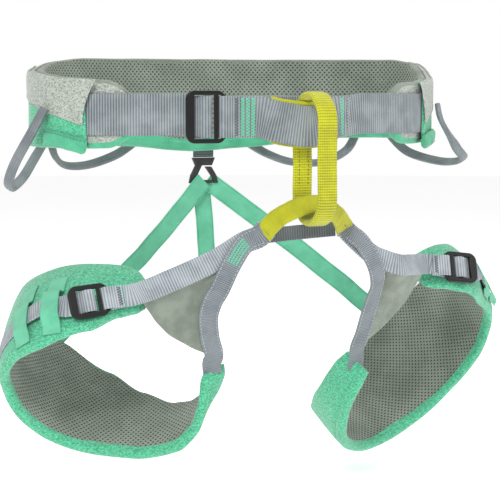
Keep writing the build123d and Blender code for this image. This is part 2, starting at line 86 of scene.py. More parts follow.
# Tables by side: -1 left, 1 right. Leg points are (inwards, forwards and up, towards the knee) from
# the leg loop's centre; angles run from 0 at the inner thigh over 90 at the front to 180 outside.
LEG_CENTRE = (132, -7, -201)
LEG_SPLAY, LEG_DROP = 25, 35
LEG_RING = {-1: (79, 60, -12), 1: (70, 87, 26)}                 # radii and turn of the ellipse
LEG_BULGE = {-1: (150, 0, 30), 1: (126, -8, 26)}                # angle, height and spread
LEG_TAPER = {-1: (112, 0, 28), 1: (112, 0.0039, 28)}            # angle, narrowing per mm and spread
LEG_TWIST = {-1: (315, 352, 50), 1: (330, 366, 0)}              # start, end and turn of the inner end
LEG_FLARE = 0.0009
LEG_CROWN = 7
LEG_OUT = 8.9
LEG_LIP = 7
LEG_SEAM = 9                            # from the knee edge to the sewn groove
LEG_WEB, LEG_WEB_T = 18, 1.6
TONGUE_WEB_T = 1.4
ADJUST_OUT = LEG_OUT + 3.1
KEEPER_WEB = 15
RISER_WEB = 17
KEEPER_TURNS = {-1: (27, 45), 1: (46, 63)}                      # angles from the buckle
KEEPER_REACH = {-1: (-40, 25), 1: (-27, 16)}                    # ends across the pad
BAR_R = 2.0
SIDES = ((-1, "left"), (1, "right"))

LEG_PAD = {                             # (angle, hip edge, knee edge)
    -1: [(67, -27, 6), (72, -36, 14), (80, -41, 22), (96, -41, 40), (125, -45, 52), (156, -52, 45),
         (185, -58, 37), (210, -62, 44), (230, -61, 46), (262, -42, 47), (283, -20, 50), (306, 0, 50),
         (320, 6, 42), (335, 0, 30), (345, -8, 20), (352, -10, 14)],
    1: [(62, -6, 16), (68, -16, 24), (80, -17, 36), (96, -18, 40), (120, -24, 38), (150, -37, 37),
        (180, -46, 44), (215, -50, 44), (245, -45, 43), (270, -26, 43), (291, -14, 42), (320, -4, 41),
        (340, 2, 39), (356, 4, 38), (366, 8, 36)],
}
LEG_FRONT_WEB = {
    -1: [(119.6, 107.4, -25.8), (107, 102, -24), (84, 92, -14), (58, 84, -5), (33, 78.5, 5)],
    1: [(121, 108, -24), (107, 101, -6), (96, 100, 3), (82, 101, 12)],
}
LEG_INNER_WEB = {
    -1: [(120, 109.2, -24.3), (109, 104, -22), (99, 93, -12), (89, 76, 1), (83, 64, 3), (79, 46, 3),
         (80, 26, 4), (83, 8, 5)],
    1: [(121.9, 110, -22.1), (115.2, 107, -12), (110.5, 98.3, 4), (105.8, 87.9, 11.6), (99.5, 74, 12),
        (94, 57, 13), (88, 33, 16), (85, 16, 18)],
}
ARCH_ENTRY = {-1: (126, 113, -29), 1: (127, 112.5, -31)}        # hidden end inside the arch
LEG_POCKET = {-1: [(81.1, -4.6, 3.4), (81.8, -15, 4.6)], 1: [(81.5, 6.7, 20.3), (78.6, -3, 23)]}
FREE_WEB_NORMAL = {-1: Vector((-0.25, -0.95, 0.2)), 1: Vector((0.1, -0.95, 0.2))}


# ---- curves --------------------------------------------------------------------------------------
def mix(a, b, t):
    return a + (b - a) * t


def ease(t):
    t = min(max(t, 0), 1)
    return t * t * (3 - 2 * t)


def span(start, end, count):
    return [mix(start, end, k / count) for k in range(count + 1)]


def spline(a, b, c, d, t):
    """Catmull-Rom value between b and c."""
    return (b * 2 + (c - a) * t + (a * 2 - b * 5 + c * 4 - d) * t**2 + (b * 3 - a - c * 3 + d) * t**3) * 0.5


def evenly(stations, step):
    """Smooth curve through (point, normal) stations, sampled at equal steps."""
    fine = []
    last = len(stations) - 1
    for i in range(last):
        a, b, c, d = (stations[min(max(i + k, 0), last)] for k in (-1, 0, 1, 2))
        for k in range(12):
            t = k / 12
            fine.append((spline(a[0], b[0], c[0], d[0], t), b[1].lerp(c[1], t)))
    fine.append(stations[-1])
    lengths = [0]
    for (p, _), (q, _) in zip(fine, fine[1:]):
        lengths.append(lengths[-1] + (q - p).length)
    count = max(2, round(lengths[-1] / step))
    result, i = [], 0
    for k in range(count + 1):
        goal = lengths[-1] * k / count
        while i < len(fine) - 2 and lengths[i + 1] < goal:
            i += 1
        t = min(1, (goal - lengths[i]) / (lengths[i + 1] - lengths[i]))
        result.append((fine[i][0].lerp(fine[i + 1][0], t), fine[i][1].lerp(fine[i + 1][1], t).normalized()))
    return result


def smooth_value(keys, x):
    """Eased values of a table of (x, value, ...) rows at x."""
    if x <= keys[0][0]:
        return list(keys[0][1:])
    for low, high in zip(keys, keys[1:]):
        if x <= high[0]:
            t = (x - low[0]) / (high[0] - low[0])
            return [mix(a, b, (t + ease(t)) / 2) for a, b in zip(low[1:], high[1:])]
    return list(keys[-1][1:])


def path_frames(stations, step, closed=False):
    """Evenly spaced (point, side, up, distance) along (point, face normal) stations."""
    line = evenly(stations, step)
    if closed:
        line = line[:-1]
    last = len(line) - 1
    frames, distance = [], 0
    for i, (point, normal) in enumerate(line):
        if closed:
            ahead = line[(i + 1) % (last + 1)][0] - line[i - 1][0]
        else:
            ahead = line[min(i + 1, last)][0] - line[max(i - 1, 0)][0]
        side = ahead.cross(normal).normalized()
        if i:
            distance += (point - line[i - 1][0]).length
        frames.append((point, side, side.cross(ahead).normalized(), distance))
    return frames


def crumple(point, size, amount):
    """Displacement of cloth at a point: noise with features of a given size."""
    return noise.noise_vector(point / size) * amount


# ---- places on the waist belt and the leg loops --------------------------------------------------
def waist_half(angle):
    return WAIST_RIGHT if math.cos(math.radians(angle)) > 0 else WAIST_LEFT


def waist_normal(angle):
    a = math.radians(angle)
    return Vector((math.cos(a) / waist_half(angle), math.sin(a) / WAIST_DEPTH, 0)).normalized()


def waist_point(angle, out, z):
    """Point at a plan angle, a distance outside the waist opening and a height."""
    a = math.radians(angle)
    base = Vector((waist_half(angle) * math.cos(a), WAIST_DEPTH * math.sin(a), z))
    return base + waist_normal(angle) * out


def pad_heights(angle):
    """Lower and upper edge of the waist pad, which narrows at its rounded ends."""
    low, high = smooth_value(PAD_BOTTOM, angle)[0], smooth_value(PAD_TOP, angle)[0]
    middle = (low + high) / 2
    share = math.sqrt(ease(0.16 + min(PAD_ENDS[0] - angle, angle - PAD_ENDS[1]) / 14))
    return mix(middle, low, share), mix(middle, high, share)


def leg_axes(side):
    """Centre, inner, upper-front and knee directions of a leg loop; side is -1 left, +1 right."""
    s, c = math.sin(math.radians(LEG_SPLAY)), math.cos(math.radians(LEG_SPLAY))
    sd, cd = math.sin(math.radians(LEG_DROP)), math.cos(math.radians(LEG_DROP))
    centre = Vector((side * LEG_CENTRE[0], LEG_CENTRE[1], LEG_CENTRE[2]))
    inner, front = Vector((-side * c, -s, 0)), Vector((side * s * sd, -c * sd, cd))
    return centre, inner, front, Vector((side * s * cd, -c * cd, -sd))


def leg_place(side, q):
    """Point of a leg loop from its distances inwards, forwards and up, and towards the knee."""
    centre, inner, front, knee = leg_axes(side)
    return centre + inner * q[0] + front * q[1] + knee * q[2]


def leg_ring(side, angle):
    """Position of the ring about its centre: a turned ellipse with one bulging corner."""
    centre, inner, front, knee = leg_axes(side)
    r1, r2, turn = LEG_RING[side]
    a, t = math.radians(angle - turn), math.radians(turn)
    u = inner * math.cos(t) + front * math.sin(t)
    v = front * math.cos(t) - inner * math.sin(t)
    ring = u * (r1 * math.cos(a)) + v * (r2 * math.sin(a))
    corner, height, spread = LEG_BULGE[side]
    return ring + ring.normalized() * (height * math.exp(-(((angle - corner) / spread) ** 2)))


def leg_frame(side, angle):
    """Ring position and outward normal at an angle round the leg."""
    knee = leg_axes(side)[3]
    ring = leg_ring(side, angle)
    normal = knee.cross(leg_ring(side, angle + 1) - leg_ring(side, angle - 1)).normalized()
    return ring, normal if normal.dot(ring) > 0 else -normal


def leg_point(side, angle, out, along):
    """Point on a leg loop: 0 is the inner thigh, 90 the front, 180 outside, 270 under the thigh."""
    centre, inner, front, knee = leg_axes(side)
    ring, normal = leg_frame(side, angle)
    corner, narrowing, spread = LEG_TAPER[side]
    narrow = narrowing * math.exp(-(((angle - corner) / spread) ** 2))
    hip_edge, knee_edge = smooth_value(LEG_PAD[side], angle)
    middle = (hip_edge + knee_edge) / 2
    share = (along - middle) / (knee_edge - middle)
    crown = LEG_CROWN * max(0, 1 - share**2) * math.exp(-(((angle - 125) / 45) ** 2))
    point = centre + ring * (1 + (LEG_FLARE - narrow) * along) + normal * (out + crown) + knee * along
    start, end, most = LEG_TWIST[side]
    turn = math.radians(most) * ease((angle - start) / (end - start))
    n, k = out - LEG_OUT / 2, along - middle
    lean_out = n * (math.cos(turn) - 1) - k * math.sin(turn)
    lean_knee = k * (math.cos(turn) - 1) + n * math.sin(turn)
    return point + normal * lean_out + knee * lean_knee


def leg_normal(side, angle, along):
    """Outward normal of a pad's outer face."""
    round_way = leg_point(side, angle + 1, LEG_OUT, along) - leg_point(side, angle - 1, LEG_OUT, along)
    knee_way = leg_point(side, angle, LEG_OUT, along + 1) - leg_point(side, angle, LEG_OUT, along - 1)
    normal = knee_way.cross(round_way).normalized()
    return normal if normal.dot(leg_frame(side, angle)[1]) > 0 else -normal


# ---- meshes --------------------------------------------------------------------------------------
def make_piece(name, verts, faces, corners, materials, body, zones=None, replaces=(), slot=None, crease=50):
    """Object from millimetre points, face corners and fabric coordinates, riding on a body."""
    mesh = bpy.data.meshes.new(name)
    mesh.from_pydata([v * SCALE for v in verts], [], faces)
    layer = mesh.uv_layers.new(name="fabric")
    layer.data.foreach_set("uv", [value for pair in corners for value in pair])
    for material in materials:
        mesh.materials.append(material)
    if zones:
        mesh.polygons.foreach_set("material_index", zones)
    work = bmesh.new()
    work.from_mesh(mesh)
    bmesh.ops.recalc_face_normals(work, faces=work.faces)
    work.to_mesh(mesh)
    work.free()
    mesh.polygons.foreach_set("use_smooth", [True] * len(mesh.polygons))
    mesh.set_sharp_from_angle(angle=math.radians(crease))
    thing = bpy.data.objects.new(name, mesh)
    bpy.context.scene.collection.objects.link(thing)
    if body:
        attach(thing, body)
    if replaces:
        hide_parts(*replaces)
    return thing


def loft(name, rings, us, rows, materials, body, zones=None, closed=False, **extra):
    """Closed skin through rings of points; us is per ring, rows holds each ring's across values."""
    size, count = len(rings[0]), len(rings)
    verts = [point for ring in rings for point in ring]
    faces, corners, face_zones = [], [], []
    for i in range(count if closed else count - 1):
        k = (i + 1) % count
        next_u = us[k] if k else us[-1] + us[1] - us[0]
        for j in range(size):
            n = (j + 1) % size
            faces.append((i * size + j, i * size + n, k * size + n, k * size + j))
            here, there = rows[i][j:j + 2], rows[k][j:j + 2]
            corners += [(us[i], here[0]), (us[i], here[1]), (next_u, there[1]), (next_u, there[0])]
            face_zones.append(zones[j] if zones else 0)
    if not closed:
        for i in (0, count - 1):
            faces.append(tuple(range(i * size, (i + 1) * size)))
            corners += [(us[i], rows[i][j]) for j in range(size)]
            face_zones.append(zones[0] if zones else 0)
    return make_piece(name, verts, faces, corners, materials, body, zones=face_zones, **extra)


def across_rows(profile, count):
    """The same across values, closed, for a number of rings."""
    return [[s for s, _ in profile] + [profile[0][0]]] * count


def sheet(name, grid, materials, body, thick=0.7, levels=1, **extra):
    """Cloth through a grid of (point, u, v) rows, given a thickness and smoothed."""
    rows, columns = len(grid), len(grid[0])
    verts = [cell[0] for row in grid for cell in row]
    flat = [cell[1:] for row in grid for cell in row]
    faces = [(i * columns + j, i * columns + j + 1, (i + 1) * columns + j + 1, (i + 1) * columns + j)
             for i in range(rows - 1) for j in range(columns - 1)]
    corners = [flat[k] for face in faces for k in face]
    thing = make_piece(name, verts, faces, corners, materials, body, **extra)
    shell = thing.modifiers.new("thickness", "SOLIDIFY")
    shell.thickness = thick * SCALE
    shell.offset = 0
    smooth = thing.modifiers.new("smooth", "SUBSURF")
    smooth.levels = smooth.render_levels = levels
    return thing


def strap_profile(width, thick, across=8):
    """Rounded outline of flat webbing as (across, height) pairs."""
    r = thick / 2
    flat = width / 2 - r
    top = [(x, r) for x in span(flat, -flat, across)]
    arc = [(r * math.sin(math.radians(a)), r * math.cos(math.radians(a))) for a in (40, 90, 140)]
    left = [(-flat - x, h) for x, h in arc]
    bottom = [(x, -r) for x in span(-flat, flat, across)]
    right = [(flat + x, h) for x, h in reversed(arc)]
    return top + left + bottom + right


def webbing(name, stations, width, thick, body, material, pitch=2.2, rib=0.13, across=8, wave=0.0, **extra):
    """Woven strap with cross ribs along (point, face normal) stations."""
    profile = strap_profile(width, thick, across)
    rings, us = [], []
    for point, side, up, u in path_frames(stations, pitch / 4):
        swell = 1 + rib * math.cos(2 * math.pi * u / pitch) / thick
        shift = crumple(point, 22, wave)
        rings.append([point + shift + side * s + up * (h * swell) for s, h in profile])
        us.append(u)
    return loft(name, rings, us, across_rows(profile, len(rings)), [material], body, **extra)


def threads(name, segments, material, body, radius=0.32, **extra):
    """Short sewn threads, one for each (start, end, up) segment, as one mesh."""
    sides = 6
    shape = ((0, 0.45, -0.35), (0.22, 1, 0.1), (0.78, 1, 0.1), (1, 0.45, -0.35))
    verts, faces, corners = [], [], []
    for start, end, up in segments:
        ahead = end - start
        side = ahead.cross(up).normalized()
        base = len(verts)
        for share, size, lift in shape:
            centre = start + ahead * share + up * (lift * radius)
            for k in range(sides):
                a = 2 * math.pi * k / sides
                verts.append(centre + (side * math.cos(a) + up * math.sin(a)) * (radius * size))
        for i in range(len(shape) - 1):
            for k in range(sides):
                n = (k + 1) % sides
                low, high = base + i * sides, base + (i + 1) * sides
                faces.append((low + k, low + n, high + n, high + k))
                corners += [(i, k), (i, k + 1), (i + 1, k + 1), (i + 1, k)]
        for i in (0, len(shape) - 1):
            faces.append(tuple(base + i * sides + k for k in range(sides)))
            corners += [(i, k) for k in range(sides)]
    return make_piece(name, verts, faces, corners, [material], body, crease=80, **extra)


def running_stitch(line, length=2.3, gap=1.1):
    """Segments of a dashed seam along (point, up) pairs."""
    frames = evenly(line, 0.5)
    size, jump = round(length / 0.5), round((length + gap) / 0.5)
    return [(frames[i][0], frames[i + size][0], frames[i][1]) for i in range(0, len(frames) - size, jump)]


def zigzag(line, width, pitch=1.1):
    """Segments of a zigzag seam along (point, up) pairs."""
    frames = path_frames(line, pitch / 2)
    points = [(p + side * (width / 2 if i % 2 else -width / 2), up)
              for i, (p, side, up, _) in enumerate(frames)]
    return [(a[0], b[0], a[1]) for a, b in zip(points, points[1:])]


def beside(stations, shift, lift, start=0.0, end=1.0, step=2.0):
    """(point, up) pairs beside a strap's middle line, between two shares of its length."""
    frames = path_frames(stations, step)
    last = len(frames) - 1
    chosen = frames[round(start * last):round(end * last) + 1]
    return [(p + side * shift + up * lift, up) for p, side, up, _ in chosen]


# ---- materials -----------------------------------------------------------------------------------
def colour(red, green, blue):
    """Linear colour from the usual 0 to 255 values."""
    values = [c / 255 for c in (red, green, blue)]
    return tuple(c / 12.92 if c <= 0.04045 else ((c + 0.055) / 1.055) ** 2.4 for c in values) + (1,)


class Shade:
    """Short forms for building one node material."""

    def __init__(self, name, roughness=0.85, sheen=0.25):
        self.material = bpy.data.materials.new(name)
        self.material.use_nodes = True
        self.tree = self.material.node_tree
        self.surface = self.tree.nodes["Principled BSDF"]
        self.set("Roughness", roughness)
        self.set("Sheen Weight", sheen)
        self.set("Sheen Roughness", 0.5)

    def feed(self, socket, value):
        if isinstance(value, bpy.types.NodeSocket):
            self.tree.links.new(value, socket)
        elif value is not None:
            socket.default_value = value

    def set(self, name, value):
        self.feed(self.surface.inputs[name], value)

    def node(self, kind, *inputs, **settings):
        made = self.tree.nodes.new("ShaderNode" + kind)
        for key, value in settings.items():
            setattr(made, key, value)
        for socket, value in zip(made.inputs, inputs):
            self.feed(socket, value)
        return made

    def math(self, operation, a, b=0.0, c=0.0):
        return self.node("Math", a, b, c, operation=operation).outputs[0]

    def blend(self, share, a, b):
        return self.node("MixRGB", share, a, b).outputs[0]

    def fabric(self):
        """Distances along and across the fabric, in millimetres."""
        split = self.node("SeparateXYZ", self.node("UVMap", uv_map="fabric").outputs[0])
        return split.outputs[0], split.outputs[1]

    def wave(self, value, pitch):
        """Wave from 0 to 1 with a pitch in millimetres."""
        turned = self.math("SINE", self.math("MULTIPLY", value, 2 * math.pi / pitch))
        return self.math("MULTIPLY_ADD", turned, 0.5, 0.5)

    def noise(self, size, detail=2.0, stretch=None):
        """Noise with features of a size in millimetres, fixed to the object."""
        place = self.node("TexCoord").outputs["Object"]
        if stretch:
            place = self.node("VectorMath", place, stretch, operation="MULTIPLY").outputs[0]
        made = self.node("TexNoise", place)
        made.inputs["Scale"].default_value = 1000 / size
        made.inputs["Detail"].default_value = detail
        return made.outputs[0]

    def ramp(self, value, low, high, start=0.0, end=1.0):
        """Value carried from low..high to start..end, held at both ends."""
        made = self.node("MapRange", value, low, high, start, end, interpolation_type="SMOOTHSTEP")
        return made.outputs[0]

    def bump(self, height, distance, strength=1.0):
        made = self.node("Bump")
        made.inputs["Strength"].default_value = strength
        made.inputs["Distance"].default_value = distance * SCALE
        self.feed(made.inputs["Height"], height)
        self.set("Normal", made.outputs[0])


def webbing_material(name, light, dark, pitch=2.2, yarn=0.9, contrast=1.0):
    """Woven webbing: cross ribs, fine lengthwise yarns and soft soiling."""
    shade = Shade(name)
    along, across = shade.fabric()
    ribs = shade.wave(along, pitch)
    yarns = shade.wave(across, yarn)
    soil = shade.noise(16, 3)
    lit = shade.math("MULTIPLY_ADD", yarns, 0.22, shade.math("MULTIPLY", ribs, 0.62 * contrast))
    lit = shade.math("ADD", lit, shade.ramp(soil, 0.3, 0.7, 0.0, 0.3))
    fuzz = shade.noise(0.8, 2)
    lit = shade.math("ADD", lit, shade.math("MULTIPLY_ADD", fuzz, 0.3, -0.15))
    shade.set("Base Color", shade.blend(lit, dark, light))
    shade.set("Roughness", shade.math("MULTIPLY_ADD", soil, 0.2, 0.62))
    height = shade.math("MULTIPLY_ADD", yarns, 0.4, ribs)
    shade.bump(shade.math("MULTIPLY_ADD", fuzz, 0.3, height), 0.22)
    return shade.material


def melange_material(name, light, dark, fleck, size=1.1):
    """Heathered fabric: fine flecks of two yarns over a soft base."""
    shade = Shade(name, 0.92, 0.4)
    coarse = shade.noise(size * 2.6, 2, (1, 1, 1.6))
    fine = shade.noise(size, 3, (1, 1, 1.8))
    base = shade.blend(shade.ramp(coarse, 0.35, 0.65), dark, light)
    flecks = shade.ramp(fine, 0.52, 0.62)
    shade.set("Base Color", shade.blend(shade.math("MULTIPLY", flecks, 0.75), base, fleck))
    weave = shade.noise(0.7, 2)
    shade.bump(shade.math("MULTIPLY_ADD", fine, 0.6, weave), 0.25)
    return shade.material


def pore_material(name, light, dark, hole, pitch=(4.1, 4.3), radius=1.0):
    """Spacer mesh: staggered dark pores in a knitted face."""
    shade = Shade(name, 0.9, 0.3)
    along, across = shade.fabric()
    masks = []
    for shift in (0, 0.5):
        x = shade.math("FRACT", shade.math("ADD", shade.math("DIVIDE", along, pitch[0]), shift))
        y = shade.math("FRACT", shade.math("ADD", shade.math("DIVIDE", across, pitch[1]), shift))
        x = shade.math("MULTIPLY", shade.math("SUBTRACT", x, 0.5), pitch[0])
        y = shade.math("MULTIPLY", shade.math("SUBTRACT", y, 0.5), pitch[1] * 1.25)
        squares = shade.math("ADD", shade.math("MULTIPLY", x, x), shade.math("MULTIPLY", y, y))
        masks.append(shade.math("SQRT", squares))
    near = shade.math("MINIMUM", *masks)
    pores = shade.ramp(near, radius * 0.55, radius, 1.0, 0.0)
    knit = shade.noise(0.9, 2)
    soft = shade.noise(26, 2)
    body = shade.blend(shade.math("MULTIPLY_ADD", knit, 0.6, shade.ramp(soft, 0.3, 0.7, 0, 0.4)), dark, light)
    shade.set("Base Color", shade.blend(pores, body, hole))
    rim = shade.ramp(near, radius * 0.5, radius * 2.0)
    shade.bump(shade.math("MULTIPLY_ADD", knit, 0.25, rim), 0.7)
    return shade.material


def plain_fabric_material(name, light, dark, weave=0.55):
    """Plain woven cloth with a fine grid and broad soft shading."""
    shade = Shade(name, 0.85, 0.35)
    along, across = shade.fabric()
    grid = shade.math("MULTIPLY", shade.wave(along, weave), shade.wave(across, weave))
    soft = shade.noise(14, 3)
    fine = shade.noise(0.9, 2)
    lit = shade.math("MULTIPLY_ADD", grid, 0.25, shade.ramp(soft, 0.3, 0.7, 0.1, 0.6))
    lit = shade.math("MULTIPLY_ADD", fine, 0.3, lit)
    shade.set("Base Color", shade.blend(lit, dark, light))
    shade.bump(shade.math("MULTIPLY_ADD", fine, 0.5, grid), 0.12)
    return shade.material


def elastic_material(name, light, dark, width):
    """Knitted elastic: fine lengthwise cords and a line beside each edge."""
    shade = Shade(name, 0.75, 0.3)
    along, across = shade.fabric()
    cords = shade.wave(across, 0.9)
    picks = shade.wave(along, 0.8)
    edge = shade.math("ABSOLUTE", shade.math("SUBTRACT", shade.math("ABSOLUTE", across), width / 2 - 1.3))
    line = shade.ramp(edge, 0.15, 0.5, 0.45, 0.0)
    soft = shade.noise(12, 2)
    lit = shade.math("MULTIPLY_ADD", cords, 0.3, shade.math("MULTIPLY_ADD", picks, 0.2, soft))
    lit = shade.math("SUBTRACT", lit, line)
    shade.set("Base Color", shade.blend(lit, dark, light))
    shade.bump(shade.math("MULTIPLY_ADD", picks, 0.6, cords), 0.12)
    return shade.material


def coated_metal_material(name):
    """Black coated aluminium, worn bright along its edges."""
    shade = Shade(name, 0.42, 0.0)
    grain = shade.noise(0.5, 2)
    patch = shade.noise(7, 3)
    corner = shade.node("Bevel", 0.7 * SCALE)
    flat = shade.node("NewGeometry").outputs["Normal"]
    turn = shade.node("VectorMath", corner.outputs[0], flat, operation="DOT_PRODUCT").outputs["Value"]
    edge = shade.ramp(turn, 0.82, 0.99, 1.0, 0.0)
    worn = shade.math("MULTIPLY", edge, shade.ramp(patch, 0.42, 0.62, 0.05, 0.8))
    base = shade.blend(patch, colour(12, 11, 12), colour(24, 22, 24))
    shade.set("Base Color", shade.blend(worn, base, colour(84, 82, 82)))
    shade.set("Metallic", shade.math("MULTIPLY_ADD", worn, 0.6, 0.35))
    shade.set("Roughness", shade.math("MULTIPLY_ADD", grain, 0.25, 0.3))
    shade.bump(grain, 0.05, 0.6)
    return shade.material


def moulded_plastic_material(name):
    """Dark nylon moulding with a fine spark-eroded grain."""
    shade = Shade(name, 0.5, 0.0)
    grain = shade.noise(0.6, 3)
    patch = shade.noise(6, 2)
    shade.set("Base Color", shade.blend(patch, colour(30, 30, 32), colour(62, 60, 62)))
    shade.set("Roughness", shade.math("MULTIPLY_ADD", grain, 0.25, 0.38))
    shade.bump(grain, 0.08, 0.6)
    return shade.material


def thread_material(name, light, dark):
    """Twisted sewing thread."""
    shade = Shade(name, 0.6, 0.3)
    twist = shade.noise(0.45, 1)
    shade.set("Base Color", shade.blend(twist, dark, light))
    shade.bump(twist, 0.08)
    return shade.material


def floor_material(name):
    """Pale studio floor with a trace of tone."""
    shade = Shade(name, 0.9, 0.0)
    tone = shade.noise(400, 2)
    shade.set("Base Color", shade.blend(tone, (0.86, 0.86, 0.86, 1), (0.9, 0.9, 0.9, 1)))
    shade.set("Emission Color", (1, 1, 1, 1))
    shade.set("Emission Strength", 0.5)
    return shade.material


GREY_WEB = webbing_material("grey_webbing", colour(158, 167, 171), colour(70, 78, 83))
LEG_WEBBING = webbing_material("leg_webbing", colour(186, 194, 200), colour(94, 103, 110))
# Inner strap webbing: darker than leg_webbing partly for the strap's own darker grey and partly as painted
# shade on its shaded face; its finer ribs are its own.
INNER_WEB = webbing_material("inner_webbing", colour(146, 154, 160), colour(76, 84, 90), 1.6)
DARK_WEB = webbing_material("dark_webbing", colour(120, 126, 132), colour(62, 68, 74))
TUBE_WEB = webbing_material("tubular_webbing", colour(160, 167, 171), colour(92, 99, 104), 1.0, 1.9, 0.3)
YELLOW_WEB = webbing_material("yellow_webbing", colour(218, 218, 10), colour(126, 128, 0), 2.1, 1.5, 0.8)
YELLOW_SLEEVE = webbing_material("yellow_sleeve", colour(220, 220, 14), colour(156, 158, 0), 0.8, 0.8, 0.5)
MINT = melange_material("mint_melange", colour(88, 194, 150), colour(48, 146, 106), colour(128, 222, 184),
                        0.8)
PLAIN_MINT = plain_fabric_material("mint_fabric", colour(90, 196, 152), colour(56, 152, 114))
MELANGE = melange_material("grey_melange", colour(178, 185, 176), colour(124, 132, 122),
                           colour(206, 211, 202), 0.75)
SAGE = plain_fabric_material("sage_fabric", colour(146, 155, 142), colour(98, 107, 95))
MESH = pore_material("spacer_mesh", colour(156, 166, 153), colour(112, 122, 109), colour(20, 25, 20))
ELASTIC = elastic_material("mint_elastic", colour(112, 206, 168), colour(62, 156, 118), RISER_WEB)
BUCKLE = coated_metal_material("coated_metal")
PLASTIC = moulded_plastic_material("moulded_plastic")
MINT_THREAD = thread_material("mint_thread", colour(120, 232, 190), colour(70, 180, 140))
GREY_THREAD = thread_material("grey_thread", colour(210, 214, 216), colour(140, 146, 150))
DARK_THREAD = thread_material("dark_thread", colour(96, 104, 108), colour(52, 58, 62))
OLIVE_THREAD = thread_material("olive_thread", colour(150, 150, 10), colour(96, 96, 4))


# ---- padded bands --------------------------------------------------------------------------------
def pad_outline(low, high, thick, lip_low, lip_high, crown, squeeze=1.0):
    """(out, along) corners round a padded band with full edges, and the share of each zone.

    Zones: 0 outer face, 1 upper edge, 2 lip and lining bed, 3 lower edge and lip.
    """
    faces, arcs = 26, 8
    r = min(thick / 2, (high - low) / 2.2) * squeeze
    mid = thick / 2
    corners, zones = [], []
    for t in span(0, 1, faces):
        full = crown * math.sin(math.pi * t) ** 0.7
        corners.append((mid + (mid + full) * squeeze, mix(low + r, high - r, t)))
        zones.append(0)
    for a in span(0, 180, arcs)[1:-1]:
        turn = math.radians(a)
        corners.append((mid + mid * squeeze * math.cos(turn), high - r + r * math.sin(turn)))
        zones.append(1)
    bed_low, bed_high = low + lip_low, high - lip_high
    for t in span(0, 1, faces):
        s = mix(high - r, low + r, t)
        inside = ease((s - bed_low) / 1.2) * ease((bed_high - s) / 1.2)
        corners.append((mid - mid * squeeze + 0.9 * inside, s))
        zones.append(3 if s < bed_low else 2)
    for a in span(180, 360, arcs)[1:-1]:
        turn = math.radians(a)
        corners.append((mid + mid * squeeze * math.cos(turn), low + r + r * math.sin(turn)))
        zones.append(3)
    return corners, zones


def lining_outline(low, high, puff):
    """(out, along) corners of the lining sheet that lies in a band's bed."""
    count = 22
    inner = [(0.55 - puff * math.sin(math.pi * t) ** 0.6, mix(low, high, t)) for t in span(0, 1, count)]
    return [(1.0, low)] + inner + [(1.0, high)]


def band_loft(name, angles, outline, place, materials, body, rough=0.0, middle=None, **extra):
    """Padded band; outline(angle) gives (out, across) corners and place(angle, out, across) their points."""
    rings, us, rows = [], [], []
    distance, last = 0, None
    for angle in angles:
        corners = outline(angle)
        points = [place(angle, out, s) for out, s in corners]
        rings.append([point + crumple(point, DRAPE, rough) for point in points])
        centre = middle(angle) if middle else place(angle, 0, 0)
        distance += (centre - last).length if last else 0
        last = centre
        us.append(distance)
        rows.append([s for _, s in corners] + [corners[0][1]])
    return loft(name, rings, us, rows, materials, body, **extra)


# ---- waist belt ----------------------------------------------------------------------------------
def belt_loft(name, start, end, outline, materials, warp=None, **extra):
    """Band round the waist between two plan angles; warp(angle, z) slants its ends."""
    def place(angle, out, z):
        return waist_point(angle + (warp(angle, z) if warp else 0), out, z)

    angles = span(start, end, round(abs(end - start)))
    return band_loft(name, angles, outline, place, materials, "waist",
                     middle=lambda angle: waist_point(angle, 0, 0), **extra)


WAIST_LIP = (10, 1.2)                   # lower and upper distance from the edge to the lining
LINING_BULGE = 1.1


def end_squeeze(angle, ends, reach, least):
    """Share of its full thickness that a band keeps near its sewn ends."""
    nearest = min(abs(angle - ends[0]), abs(angle - ends[1]))
    return mix(least, 1, math.sqrt(min(1, nearest / reach)))


def make_waist_pad():
    """Foam in its fabric, the mesh lining in its bed and the stitched lip below it."""
    zones = pad_outline(-27, 24, PAD_OUT, *WAIST_LIP, 0)[1]

    def body(angle):
        low, high = pad_heights(angle)
        return pad_outline(low, high, PAD_OUT, *WAIST_LIP, 0.0, end_squeeze(angle, PAD_ENDS, 3, 0.35))[0]

    belt_loft("waist_pad", *PAD_ENDS, body, [MELANGE, SAGE, SAGE, PLAIN_MINT], zones=zones, rough=0.5,
              replaces=("waist_foam", "waist_facing"), slot="green_fabric")

    def lining(angle):
        low, high = pad_heights(angle)
        return lining_outline(low + WAIST_LIP[0] - 0.2, high - WAIST_LIP[1] + 0.2, LINING_BULGE)

    belt_loft("waist_mesh", PAD_ENDS[0] - 1.5, PAD_ENDS[1] + 1.5, lining, [MESH], replaces=("waist_lining",),
              slot="mesh")
    seam = [(waist_point(a, 0.1, pad_heights(a)[0] + WAIST_LIP[0] - 1.6), -waist_normal(a))
            for a in span(PAD_ENDS[0] - 4, PAD_ENDS[1] + 4, 90)]
    threads("waist_lip_stitch", running_stitch(seam), MINT_THREAD, "waist")


COVER_SPLIT = 12                        # height where the grey upper cover meets the green lower one
COVER_ROLL = 0.6                        # fullness of the cover beside its seam
WING_ENDS = (158, 10)                   # plan angles where the wings run into the cover
WING_LOW = (-10, 20)                    # height of a wing's lower edge at the mouth and at its end
MOUTH_REACH = 10                        # plan angle over which the open ends curve


def mouth_bow(z):
    """Plan angle by which an open end's corners stand ahead of its middle."""
    return 2.6 * ((z + 8) / 26) ** 2 - 1.0


def mouth_slant(angle, z):
    """Extra plan angle that makes the cover's open ends hollow and hides them behind the wings."""
    bow = mouth_bow(z) - 4 * ease((z + 13) / 5)
    left = max(0, 1 - (MOUTHS[0] - angle) / MOUTH_REACH)
    right = max(0, 1 - (angle - MOUTHS[1]) / MOUTH_REACH)
    return bow * (left**1.5 - right**1.5)


